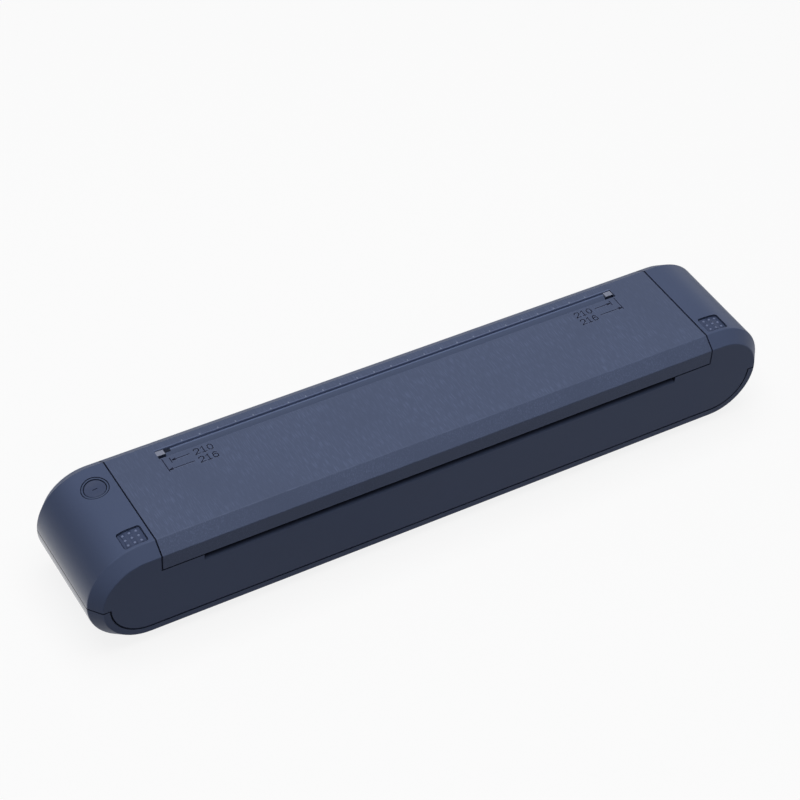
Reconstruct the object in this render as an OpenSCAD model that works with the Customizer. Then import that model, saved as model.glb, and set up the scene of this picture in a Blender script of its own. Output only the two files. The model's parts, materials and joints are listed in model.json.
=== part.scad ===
// Portable A4 thermal printer: a slim pill-shaped case with a hinged top cover, a sprung
// print head under the cover, and a geared rubber platen in the base.
// Frame: X runs along the case, front is -Y, +Z is up, and the feet stand on z = 0.

/* [Case] */
// Length of each rounded end of the case, from the cover to its tip
cap_len = 29.9; // [29.5:0.1:34]
// Depth of the case from front to back
case_depth = 58; // [52:0.2:64]
// Space between the battery cells and the steel frame above them
cell_room = 0.5; // [0.4:0.1:4]
// Wall of the upper and lower case
case_wall = 1.8; // [1.5:0.1:2.2]
// Depth of the sloping edge band round the front and the back
band_depth = 5.5; // [5:0.1:6]
// How far the front face sits inside the outline of the case
band_inset = 4.4; // [4.2:0.1:4.8]
// Width of the rim that the lower case leaves round the front panel
rim_w = 3.4; // [2.4:0.1:4]
// Width of the groove between the front panel and the rim
groove_w = 0.4; // [0.3:0.05:0.6]
// Seam between the upper and the lower case
seam_w = 0.3; // [0.2:0.05:0.4]
// How far the rubber feet stand below the case
foot_h = 0.8; // [0.6:0.1:1.5]
// Radius of a rubber foot
foot_r = 5; // [4:0.5:6]
// Depth of the recess that holds a foot
foot_seat = 0.6; // [0.4:0.1:1]

/* [Cover] */
// Room at each side between the widest paper and the end of the cover, for gears and frame
cover_side = 20.6; // [20.4:0.1:24]
// Thickness of the cover
cover_wall = 1.8; // [1.5:0.1:1.9]
// Seam between the cover and the case
cover_gap = 0.3; // [0.25:0.05:0.5]
// Height of the cover's front, from its top to the exit
cover_front_h = 11.75; // [11.4:0.05:12]
// Distance of the hinge axis from the back face
hinge_in = 4.4; // [4.2:0.1:4.6]
// Distance of the hinge axis below the top
hinge_down = 5; // [4.8:0.1:5.2]
// Radius of a hinge pin
hinge_pin_r = 1.5; // [1.2:0.1:1.6]

/* [Paper path] */
// Widest paper that the printer takes
paper_w = 216; // [190:1:240]
// Room at each side of the paper in the exit
exit_room = 2.5; // [1.5:0.1:3.5]
// Height of the paper exit
exit_h = 1.75; // [1.5:0.05:2]
// Room at each side of the paper in the inlet
inlet_room = 0.5; // [0.3:0.05:0.9]
// Width of the paper inlet from front to back
inlet_d = 4.7; // [4.5:0.1:5]
// Width of the cover's strip behind the inlet
inlet_strip = 3.5; // [3.3:0.1:3.7]
// Radius of the bend that the paper makes
path_r = 16.7; // [16.2:0.1:17]
// Space kept on each side of the paper
path_gap = 0.9; // [0.8:0.05:1]

/* [Dust flap] */
// Length of the hinge ear at each end of the inlet
ear_len = 3.7; // [3.2:0.1:4]
// Length of the flap from its hinge to its free edge
flap_reach = 3.6; // [3.2:0.1:3.7]
// Thickness of the flap
flap_t = 1; // [0.8:0.1:1.1]
// Slope of the closed flap
flap_slope = 35; // [30:1:38]
// Radius of the flap's hinge rod
flap_rod_r = 0.55; // [0.4:0.05:0.6]

/* [Platen] */
// Radius of the rubber platen
platen_r = 6.3; // [6:0.1:6.6]
// Radius of the steel core inside the rubber
core_r = 3.6; // [3.2:0.1:4]
// Radius of the shaft where it turns in its bushes
journal_r = 2.5; // [2:0.1:2.8]
// Level run of the paper, from the platen's axis back to the bend
nip_run = 10; // [10:0.1:11]
// Space between the platen and the print head, for the paper
nip_gap = 0.3; // [0.2:0.05:0.4]

/* [Gears] */
// Gear module
gear_m = 0.6; // [0.56:0.01:0.6]
// Teeth of the platen gear
platen_teeth = 26; // [24:1:26]
// Teeth of each pinion
pinion_teeth = 12; // [12:1:12]
// Teeth of the large reduction wheel
wheel_teeth = 36; // [34:1:36]
// Face width of a gear
gear_w = 3.2; // [2.8:0.1:3.3]
// Radius of the reduction gear's axle
axle_r = 1.5; // [1:0.1:1.6]
// Radius of the motor's can
motor_r = 10; // [8.5:0.5:10]
// Length of the motor's can
motor_len = 19; // [16:0.5:20]
// Radius of the motor's shaft
motor_shaft_r = 1; // [0.8:0.1:1.2]

/* [Print head] */
// Length of the head from front to back
head_d = 17; // [16:0.1:17]
// Thickness of the ceramic board
board_t = 0.8; // [0.6:0.1:1]
// Thickness of the aluminium heat sink
sink_t = 3.6; // [3:0.1:3.8]
// Radius of the head's pivot pins
pivot_r = 1; // [0.8:0.1:1.2]
// Outer radius of a head spring
head_spring_r = 2.2; // [1.8:0.1:2.3]

/* [Controls] */
// Radius of the power button
power_r = 4.5; // [4:0.1:4.8]
// Distance of the power button from the wall beside the cover
power_side = 7.2; // [6.9:0.1:7.6]
// Distance of the power button from the back face
power_in = 16.6; // [16:0.1:17.4]
// Width of the light ring round the power button
ring_w = 0.85; // [0.7:0.05:1]
// Travel of the power button
power_travel = 0.5; // [0.3:0.1:0.5]
// Length of a release button along the case
release_w = 9.4; // [8.6:0.1:9.6]
// Depth of a release button from front to back
release_d = 8.2; // [7.4:0.1:8.4]
// Distance of a release button from the wall beside the cover
release_side = 5.7; // [5.6:0.1:6]
// Distance of the release buttons from the front face
release_in = 11.1; // [11:0.1:11.3]
// Travel of a release button
release_travel = 1.2; // [0.8:0.1:1.2]
// Distance from one grip bump to the next
bump_pitch = 2.8; // [2.5:0.1:2.9]

/* [Electronics] */
// Radius of a battery cell
cell_r = 9.2; // [9:0.05:9.25]
// Length of a battery cell
cell_len = 65; // [58:0.5:72]
// Thickness of the main board
pcb_t = 1.6; // [1:0.1:2]
// Width of the charging socket
usb_w = 8.9; // [8.6:0.1:9.4]
// Height of the charging socket
usb_h = 3.2; // [3:0.1:3.6]

/* [Hidden] */

$fn = 64;
run_fit = 0.05;      // radial clearance of a turning fit
seat_gap = 0.3;      // clearance between a fixed piece and the piece beside it
skin = 0.02;         // clearance of a pressed fit
past = 1;            // how far a cutter runs past the face it opens
boss_r = 3.2;
screw_r = 1.15;
screw_head_r = 2.3;
screw_head_h = 1.4;

// Stack from the floor of the case up to the nip
tray_t = 0.4;
plate_t = 1.2;
under_platen = 0.7;
floor_z = foot_h + case_wall;
cell_z = floor_z + tray_t + cell_r;
chassis_floor_z = cell_z + cell_r + cell_room;
platen_z = chassis_floor_z + plate_t + under_platen + platen_r;
nip_z = platen_z + platen_r + nip_gap / 2;
cover_low_z = nip_z + exit_h / 2;
top_z = cover_low_z + cover_front_h;

// Case outline
cover_x = paper_w / 2 + cover_side;
case_len = 2 * (cover_x + cap_len);
case_h = top_z - foot_h;
end_r = case_h / 2;
end_x = case_len / 2 - end_r;
mid_z = foot_h + end_r;
front_y = case_depth / 2;
flat_y = front_y - band_depth;
inner_y = front_y - case_wall;
band_len = norm([band_depth, band_inset]);
band_ny = band_inset / band_len;
band_nz = band_depth / band_len;

// Cover
bay_x = cover_x + cover_gap;
bay_wall = 1.4;
cap_x = bay_x + bay_wall;
cover_under_z = top_z - cover_wall;
band_low_z = top_z - band_inset;
hinge_y = front_y - hinge_in;
hinge_z = top_z - hinge_down;
barrel_r = norm([hinge_in, hinge_down - band_inset]);
barrel_t = 1.8;
barrel_end = -72;
barrel_sweep_r = barrel_r + 0.4;
lug_r = barrel_r - barrel_t + 0.4;
boss_hinge_r = 2.8;
lug_len = 4;
cheek_t = 1.6;
cover_screw_in = 10.6;      // distance of the last cover screw from the cover's end
cover_screw_back = 3.5;     // distance of the cover screws behind the frame's front edge

// Paper path
exit_w = paper_w + 2 * exit_room;
inlet_w = paper_w + 2 * inlet_room;
deck_z = nip_z - path_gap;
deck_t = 1.6;
bend_z = nip_z + path_r;
inlet_back_y = flat_y - inlet_strip;
inlet_front_y = inlet_back_y - inlet_d;
paper_in = 1.8;             // distance of the paper in front of the inlet's back edge
bend_y = inlet_back_y - paper_in - sqrt(pow(path_r, 2) - pow(bend_z - top_z, 2));
platen_y = bend_y - nip_run;
guide_side = 1;
guide_half = paper_w / 2 + guide_side;
guide_wall = 1.2;
rib_in = 7;                 // distance of the last rib from the guide's end
rib_t = 1.2;
rib_pitch = (guide_half - rib_in) / 3;
deck_screw_in = 8;          // distance of the last deck screw from the paper's edge
deck_screw_pitch = (paper_w - 2 * deck_screw_in) / 3;
deck_screw_edge = 3;
sensor_in = 48;             // distance of the paper sensor from the paper's edge
sensor_back = 10.5;         // distance of the paper sensor behind the platen's axis
sensor_x = -paper_w / 2 + sensor_in;
sensor_y = platen_y + sensor_back;
sensor_w = 4;
sensor_d = 3;
sensor_h = 1.6;

// Dust flap
flap_y = inlet_back_y - 1;
flap_z = top_z - 1.6;
flap_barrel_r = flap_rod_r + 0.3;
flap_half = inlet_w / 2 - ear_len - seat_gap;
flap_spring_len = 2.5;

// Gears
function pitch_r(teeth) = gear_m * teeth / 2;
train_angle = -42;
motor_angle = -32;
mesh_play = 0.05;
small_dist = pitch_r(platen_teeth) + pitch_r(pinion_teeth) + mesh_play;
large_dist = pitch_r(wheel_teeth) + pitch_r(pinion_teeth) + mesh_play;
train_y = platen_y + small_dist * cos(train_angle);
train_z = platen_z + small_dist * sin(train_angle);
motor_y = train_y + large_dist * cos(motor_angle);
motor_z = train_z + large_dist * sin(motor_angle);

// Chassis
plate_side = 2.8;
plate_x = paper_w / 2 + plate_side;
plate_out_x = plate_x + plate_t;
gear_space = 0.9;
wheel_space = 0.4;
gear_in_x = plate_out_x + gear_space;
gear_step_x = gear_in_x + gear_w;
wheel_in_x = gear_step_x + wheel_space;
wheel_out_x = wheel_in_x + gear_w;
chassis_front = 9.5;
chassis_back = 10;
chassis_front_y = platen_y - chassis_front;
chassis_back_y = platen_y + chassis_back;
chassis_top_z = deck_z - seat_gap;
post_r = 2.8;
post_in = 3.4;
post_x = plate_x - post_in;
hole_in = 23.4;             // distance of the last lightening hole's middle from the post
hole_pitch = (post_x - hole_in) / 3;
hole_web = 10;
hole_edge = 5.75;

// Print head
head_low_z = nip_z + nip_gap / 2;
sink_low_z = head_low_z + board_t;
sink_top_z = sink_low_z + sink_t;
head_behind = 13;           // distance of the head's back edge behind the heater line
head_back_y = platen_y + head_behind;
head_front_y = head_back_y - head_d;
head_side = 1.5;
head_half = paper_w / 2 + head_side;
pivot_back = 0.6;
pivot_y = head_back_y + pivot_back;
pivot_z = sink_low_z + sink_t / 2;
pivot_ear_x = plate_out_x + gear_space;
pivot_ear_t = 2;
frame_t = 1.4;
frame_top_z = cover_under_z - 0.1;
frame_low_z = frame_top_z - frame_t;
frame_front = 6.7;          // space between the cover's front wall and its frame
frame_back = 1;             // how far the frame reaches behind the head
frame_front_y = -inner_y + frame_front;
frame_back_y = head_back_y + frame_back;
spring_in = 19.5;           // distance of the last head spring from the head's end
spring_pitch = 2 * (head_half - spring_in) / 3;
spring_places = [for (i = [-1.5 : 1 : 1.5]) i * spring_pitch];

// Power button
power_x = cap_x + power_side;
power_y = front_y - power_in;
power_z = mid_z + sqrt(pow(end_r, 2) - pow(power_x - end_x, 2));
power_hole_r = power_r + ring_w + 0.25;
power_flange_r = power_r + 0.7;
power_low_z = top_z - 4.3;
board_top_z = top_z - 8.1;
board_thick = 1.2;
board_out = 5.9;
board_over = 5.6;
board_front = 8.4;
board_back = 9;

// Release buttons and latch levers
release_x = cap_x + release_side;
release_y = front_y - release_in;
release_gap = 0.2;
release_under_z = top_z - 5;
release_flange = 0.7;
shelf_top_z = top_z - 7.6;
shelf_t = 1;
latch_x = cap_x + 3.1;
latch_z = shelf_top_z - shelf_t - 2.4;
stem_x = release_x + 1.9;
lever_reach = stem_x - latch_x;
stem_r = 0.9;
lever_barrel_r = 2;
lever_pin_r = 1;
lever_top_z = latch_z + 0.6;
nose_y = -release_y + release_d / 2 + 2.1;
nose_w = 2.7;
nose_z = top_z - 5.6;
nose_h = 1.6;

// Electronics
tray_wall = 1.7;
tray_room = 0.9;
cell_y = cell_r + 0.2;
cell_x = -post_x + post_r + tray_room + tray_wall;
pcb_room = 7.3;             // space between the battery tray and the main board
motor_room = 7.8;           // space between the main board and the motor
pcb_x = cell_x + cell_len + tray_wall + pcb_room;
pcb_end_x = plate_x - motor_len - motor_room;
pcb_z = floor_z + 5.4;
pcb_back_y = inner_y - 0.9;
pcb_front = 14.2;           // space in front of the main board
pcb_front_y = -inner_y + pcb_front;
pcb_hole_in = 4;
usb_in = 24;                // distance of the charging socket from the board's end
usb_x = pcb_end_x - usb_in;

end_boss_out = 12.6;        // distance of an end screw past the straight part of the case
end_boss_in = 4;            // distance of an end screw inside the straight part of the top
side_boss_in = 5.4;
end_boss_x = end_x + end_boss_out;
end_boss_y = flat_y - end_boss_in;
side_boss_y = inner_y - side_boss_in;
case_bosses = [
    for (x = [-end_boss_x, end_boss_x]) for (y = [-end_boss_y, end_boss_y]) [x, y],
    [0, -side_boss_y], [0, side_boss_y]
];
foot_side = 14.3;           // distance of a foot from the straight part's end
foot_in = 7;
feet = [for (x = [-1, 1]) for (y = [-1, 1]) [x * (end_x - foot_side), y * (flat_y - foot_in)]];
posts = [
    [-post_x, chassis_front_y + post_r], [-post_x, chassis_back_y - post_in],
    [post_x, chassis_front_y + post_r]
];

navy = [0.27, 0.31, 0.40];
navy_dark = [0.20, 0.23, 0.31];
black = [0.08, 0.08, 0.09];
steel = [0.72, 0.73, 0.75];
white = [0.86, 0.86, 0.83];
board_green = [0.08, 0.30, 0.20];

// Extrudes a (y, z) outline along the case
module along_x(x0, x1) {
    translate([x0, 0, 0])
        rotate([90, 0, 90])
            linear_extrude(x1 - x0)
                children();
}

// Extrudes an (x, z) outline from front to back
module along_y(y0, y1) {
    translate([0, y1, 0])
        rotate([90, 0, 0])
            linear_extrude(y1 - y0)
                children();
}

// Extrudes an (x, y) outline upwards
module upwards(z0, z1) {
    translate([0, 0, z0])
        linear_extrude(z1 - z0)
            children();
}

module box(low, high) {
    translate(low)
        cube(high - low);
}

module rod_x(x0, x1, y, z, r) {
    translate([x0, y, z])
        rotate([0, 90, 0])
            cylinder(h = x1 - x0, r = r);
}

module rod_y(x, z, y0, y1, r) {
    translate([x, y1, z])
        rotate([90, 0, 0])
            cylinder(h = y1 - y0, r = r);
}

module rod_z(x, y, z0, z1, r) {
    translate([x, y, z0])
        cylinder(h = z1 - z0, r = r);
}

// Both ends of the case, the second one mirrored
module both_ends() {
    children();
    mirror([1, 0, 0])
        children();
}

// Pill outline of the case, drawn in by an inset
module pill(inset) {
    translate([0, mid_z]) {
        square([2 * end_x, 2 * (end_r - inset)], center = true);
        for (side = [-1, 1])
            translate([side * end_x, 0])
                circle(r = end_r - inset, $fn = 128);
    }
}

// Whole form of the case, shrunk by a wall: a straight middle and two turned ends
module case_form(shrink) {
    far_y = front_y - shrink;
    far_r = end_r - band_inset - shrink * (1 - band_nz) / band_ny;
    near_r = end_r - shrink;
    side = [[far_r, -far_y], [near_r, -flat_y], [near_r, flat_y], [far_r, far_y]];
    along_x(-end_x, end_x)
        translate([0, mid_z])
            polygon([for (p = side) [p[1], p[0]], for (i = [3 : -1 : 0]) [side[i][1], -side[i][0]]]);
    for (end = [-1, 1])
        translate([end * end_x, 0, mid_z])
            rotate([90, 0, 0])
                rotate_extrude($fn = 128)
                    polygon(concat([[0, -far_y]], side, [[0, far_y]]));
}

module half_space(z0, z1) {
    box([-case_len, -case_depth, z0], [case_len, case_depth, z1]);
}

// Rounded rectangle, centred
module pad_outline(w, d, r) {
    square([w - 2 * r, d], center = true);
    square([w, d - 2 * r], center = true);
    for (sx = [-1, 1])
        for (sy = [-1, 1])
            translate([sx * (w / 2 - r), sy * (d / 2 - r)])
                circle(r = r, $fn = 32);
}

// Arc points about the bend of the paper path, measured from straight down
function bend_point(r, a) = [bend_y + r * sin(a), bend_z - r * cos(a)];
function bend_arc(r, a0, a1, n) = [for (i = [0 : n]) bend_point(r, a0 + (a1 - a0) * i / n)];

// Gear outline with a tooth on the first axis
function flank_x(r, teeth) =
    let (base = pitch_r(teeth) * cos(25), t = sqrt(max(0, pow(r / base, 2) - 1)))
    t * 180 / PI - atan(t);
function half_tooth(r, teeth) =
    90 / teeth - 4.5 / pitch_r(teeth) + flank_x(pitch_r(teeth), teeth) - flank_x(r, teeth);
function gear_outline(teeth) =
    let (
        base = pitch_r(teeth) * cos(25),
        root = pitch_r(teeth) - 1.2 * gear_m,
        tip = pitch_r(teeth) + 0.85 * gear_m,
        start = max(base, root + 0.05),
        radii = [root, for (i = [0 : 4]) start + (tip - start) * i / 4]
    )
    [
        for (k = [0 : teeth - 1])
            let (a = 360 * k / teeth)
            for (side = [-1, 1])
                let (order = side < 0 ? radii : [for (i = [len(radii) - 1 : -1 : 0]) radii[i]])
                for (r = order)
                    let (b = a + side * half_tooth(max(r, start), teeth))
                    [r * cos(b), r * sin(b)]
    ];

module gear(teeth, x0, x1, y, z, turn) {
    translate([x0, y, z])
        rotate([90, 0, 90])
            rotate([0, 0, turn])
                linear_extrude(x1 - x0)
                    polygon(gear_outline(teeth));
}

module screw_up(x, y, z, length) {
    rod_z(x, y, z, z + screw_head_h, screw_head_r);
    rod_z(x, y, z + screw_head_h, z + length, screw_r);
}

module screw_down(x, y, z, length) {
    rod_z(x, y, z - screw_head_h, z, screw_head_r);
    rod_z(x, y, z - length, z - screw_head_h, screw_r);
}

// ---- case ----

front_open_inset = band_inset + rim_w - groove_w;
panel_inset = band_inset + rim_w;
lip_y = inner_y - seat_gap;
lip_t = 1;

module lower_case() {
    color(navy)
    difference() {
        union() {
            intersection() {
                difference() {
                    case_form(0);
                    case_form(case_wall);
                    along_y(-front_y - past, -inner_y + skin)
                        pill(front_open_inset);
                }
                half_space(0, mid_z - seam_w / 2);
            }
            intersection() {
                difference() {
                    along_y(-lip_y, -lip_y + lip_t)
                        pill(case_wall - skin);
                    along_y(-lip_y - past, -lip_y + lip_t + past)
                        pill(panel_inset + 1.2);
                }
                case_form(case_wall / 2);
                half_space(0, mid_z - seam_w / 2);
            }
            for (p = case_bosses)
                intersection() {
                    rod_z(p[0], p[1], foot_h, mid_z - seam_w / 2, boss_r);
                    case_form(case_wall / 2);
                }
            for (p = posts)
                rod_z(p[0], p[1], floor_z - skin, chassis_floor_z, post_r);
            for (p = pcb_posts())
                rod_z(p[0], p[1], floor_z - skin, pcb_z, post_r - 0.3);
        }
        for (p = case_bosses) {
            rod_z(p[0], p[1], 0, top_z / 2 + past, screw_r + 0.1);
            rod_z(p[0], p[1], -past, screw_seat(p[0]), screw_head_r + 0.3);
        }
        for (p = posts)
            rod_z(p[0], p[1], chassis_floor_z - 6, chassis_floor_z + past, screw_r + skin);
        for (p = pcb_posts())
            rod_z(p[0], p[1], pcb_z - 4, pcb_z + past, screw_r + skin);
        for (p = feet)
            rod_z(p[0], p[1], 0, foot_h + foot_seat, foot_r + 0.1);
        translate([usb_x, 0, usb_z()])
            rotate([90, 0, 180])
                translate([0, 0, inner_y - past])
                    linear_extrude(case_wall + 2 * past)
                        pad_outline(usb_w + 2 * seat_gap, usb_h + 2 * seat_gap, usb_h / 2);
    }
}

// Underside of the case at a place along it
function case_bottom(x) = mid_z - sqrt(pow(end_r, 2) - pow(max(0, abs(x) - end_x), 2));
function screw_seat(x) = case_bottom(x) + 2.6;
function usb_z() = pcb_z + pcb_t + usb_h / 2;
function pcb_posts() = [
    for (x = [pcb_x + pcb_hole_in, pcb_end_x - pcb_hole_in])
        for (y = [pcb_front_y + pcb_hole_in, pcb_back_y - pcb_hole_in]) [x, y]
];

module upper_case() {
    color(navy)
    difference() {
        union() {
            intersection() {
                difference() {
                    case_form(0);
                    case_form(case_wall);
                }
                half_space(mid_z + seam_w / 2, top_z + past);
            }
            // front panel, down inside the rim of the lower case
            intersection() {
                along_y(-front_y, -inner_y)
                    pill(panel_inset);
                half_space(0, mid_z + past);
            }
            // walls on each side of the cover
            both_ends()
                intersection() {
                    case_form(0);
                    box([bay_x, -front_y, mid_z + seam_w / 2], [cap_x, front_y, top_z]);
                }
            // ledges that carry the paper deck
            for (side = [-1, 1])
                box(
                    [-bay_x, side > 0 ? inner_y - 1.8 : -inner_y - skin, deck_z - deck_t - 1.4],
                    [bay_x, side > 0 ? inner_y + skin : -inner_y + 1.8, deck_z - deck_t]
                );
            for (p = deck_screw_places())
                intersection() {
                    rod_z(p[0], p[1], deck_z - deck_t - 3.4, deck_z - deck_t, 2.8);
                    case_form(case_wall / 2);
                }
            for (p = case_bosses)
                intersection() {
                    rod_z(p[0], p[1], mid_z + seam_w / 2, p[0] == 0 ? deck_z - deck_t : top_z, boss_r - 0.2);
                    case_form(case_wall / 2);
                }
            for (side = [-1, 1])
                box(
                    [-1.2, side > 0 ? side_boss_y : -inner_y - skin, mid_z + seam_w / 2],
                    [1.2, side > 0 ? inner_y + skin : -side_boss_y, deck_z - deck_t]
                );
            both_ends() {
                rod_x(cap_x - skin, cap_x + 4, hinge_y, hinge_z, boss_hinge_r);
                release_guide();
                for (y = lever_ears())
                    box([cap_x - skin, y, latch_z - 2], [latch_x + 2.2, y + 1.2, latch_z + 2]);
            }
            power_guide();
        }
        // room for the cover
        box([-bay_x, -front_y - past, cover_low_z - cover_gap], [bay_x, hinge_y, top_z + past]);
        box([-bay_x, hinge_y - past, hinge_low_z()], [bay_x, front_y + past, top_z + past]);
        rod_x(-bay_x, bay_x, hinge_y, hinge_z, barrel_sweep_r);
        // paper exit with its sloping lip
        along_x(-exit_w / 2, exit_w / 2)
            polygon([
                [-front_y - past, cover_low_z], [-front_y - past, deck_z - 1.4 - 0.85 * past],
                [-front_y + 1.65, deck_z], [-inner_y + past, deck_z], [-inner_y + past, cover_low_z]
            ]);
        both_ends() {
            rod_x(bay_x - past, cap_x + 4 + past, hinge_y, hinge_z, hinge_pin_r + skin);
            // window for the latch nose
            box([bay_x - past, nose_y - 0.6, nose_z - 0.6], [cap_x + past, nose_y + nose_w + 0.6, nose_z + nose_h + 0.6]);
            for (y = lever_ears())
                rod_y(latch_x, latch_z, y - past, y + 1.2 + past, lever_pin_r + skin);
            translate([release_x, -release_y])
                upwards(release_under_z + 1.5, top_z + past)
                    pad_outline(release_w + 2 * release_gap, release_d + 2 * release_gap, 0.9);
        }
        rod_z(-power_x, power_y, power_low_z - past, top_z, power_flange_r + 0.15);
        rod_z(-power_x, power_y, power_low_z + 1, top_z + past, power_hole_r);
        for (p = case_bosses)
            rod_z(p[0], p[1], mid_z - past, mid_z + 8.5, screw_r + skin);
        for (p = board_posts())
            rod_z(p[0], p[1], board_top_z - past, board_top_z + 2.4, 0.8);
        for (p = deck_screw_places())
            rod_z(p[0], p[1], deck_z - deck_t - 2.8, deck_z, screw_r + skin);
    }
}

function hinge_low_z() = hinge_z - sqrt(pow(barrel_sweep_r, 2) - pow(hinge_in, 2));
function lever_ears() = [-release_y - release_d / 2 - 0.3, nose_y + nose_w + 0.3];
function board_posts() = [[-power_x - 4.4, power_y - 6.3], [-power_x + 4, power_y + 6.9]];
function deck_screw_places() = [
    for (i = [-1.5 : 1 : 1.5])
        for (y = [-inner_y + deck_screw_edge, inner_y - deck_screw_edge]) [i * deck_screw_pitch, y]
];

// Chamber that guides a release button, with the shelf its spring stands on
module release_guide() {
    low = [cap_x - skin, -release_y - release_d / 2 - 1.8, shelf_top_z - shelf_t];
    high = [release_x + release_w / 2 + 2, -release_y + release_d / 2 + 1.7, top_z];
    intersection() {
        difference() {
            box(low, high);
            box(
                [cap_x - past, low[1] + 0.8, shelf_top_z],
                [high[0] - 1, high[1] - 0.7, top_z + past]
            );
            rod_z(stem_x, -release_y, low[2] - past, shelf_top_z + past, stem_r + 0.4);
        }
        case_form(case_wall / 2);
    }
}

module power_guide() {
    intersection() {
        union() {
            rod_z(-power_x, power_y, power_low_z - 0.5, top_z, power_hole_r + 1.1);
            for (p = board_posts())
                rod_z(p[0], p[1], board_top_z, top_z, 1.6);
        }
        case_form(case_wall / 2);
    }
}

module rubber_feet() {
    color(black)
    for (p = feet) {
        rod_z(p[0], p[1], 0.3, foot_h + foot_seat, foot_r);
        translate([p[0], p[1], 0])
            cylinder(h = 0.3, r1 = foot_r - 0.3, r2 = foot_r);
    }
}

module case_screws() {
    color(steel)
    for (p = case_bosses)
        screw_up(p[0], p[1], screw_seat(p[0]) - screw_head_h, mid_z + 7.5 - screw_seat(p[0]));
}

// ---- cover ----

function barrel_arc(r, a0, a1, n) = [
    for (i = [0 : n])
        let (a = a0 + (a1 - a0) * i / n)
        [hinge_y + r * cos(a), hinge_z + r * sin(a)]
];

module cover_section() {
    in_z = band_low_z - cover_wall * (1 - band_ny) / band_nz;
    in_y = front_y - (cover_wall + (band_inset - cover_wall) * band_nz) / band_ny;
    barrel_top = atan2(hinge_down - band_inset, hinge_in);
    polygon(concat(
        [[-front_y, cover_low_z], [-front_y, band_low_z], [-flat_y, top_z], [flat_y, top_z]],
        barrel_arc(barrel_r, barrel_top, barrel_end, 18),
        barrel_arc(barrel_r - barrel_t, barrel_end, -18, 12),
        [[front_y - cover_wall, in_z], [in_y, cover_under_z]],
        [[-in_y, cover_under_z], [-front_y + cover_wall, in_z], [-front_y + cover_wall, cover_low_z]]
    ));
}

module cover_cheek() {
    polygon([
        [-front_y, cover_low_z], [-front_y, band_low_z], [-flat_y, top_z], [flat_y, top_z],
        [front_y, band_low_z], [hinge_y, hinge_z], [hinge_y - lug_r + 0.5, hinge_z],
        [hinge_y - 7, cover_low_z + 1], [-inner_y + 2, cover_low_z + 1], [-inner_y + 2, cover_low_z]
    ]);
}

module top_cover() {
    color(navy)
    difference() {
        union() {
            along_x(-cover_x, cover_x)
                cover_section();
            both_ends() {
                along_x(cover_x - cheek_t, cover_x)
                    cover_cheek();
                rod_x(cover_x - lug_len, cover_x, hinge_y, hinge_z, lug_r);
            }
        }
        box([-inlet_w / 2, inlet_front_y, cover_under_z - past], [inlet_w / 2, inlet_back_y, top_z + past]);
        both_ends() {
            rod_x(cover_x - lug_len - past, cover_x + past, hinge_y, hinge_z, hinge_pin_r + run_fit);
            box(
                [cover_x - cheek_t - past, nose_y - 0.4, nose_z - 0.6],
                [cover_x + past, nose_y + nose_w + 0.4, nose_z + nose_h]
            );
        }
        for (p = cover_screw_places())
            rod_z(p[0], p[1], cover_under_z - past, cover_under_z + 0.7, screw_r + skin);
    }
}

function cover_screw_places() = [
    for (i = [-2 : 2]) [i * (cover_x - cover_screw_in) / 2, frame_front_y + cover_screw_back]
];

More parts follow.
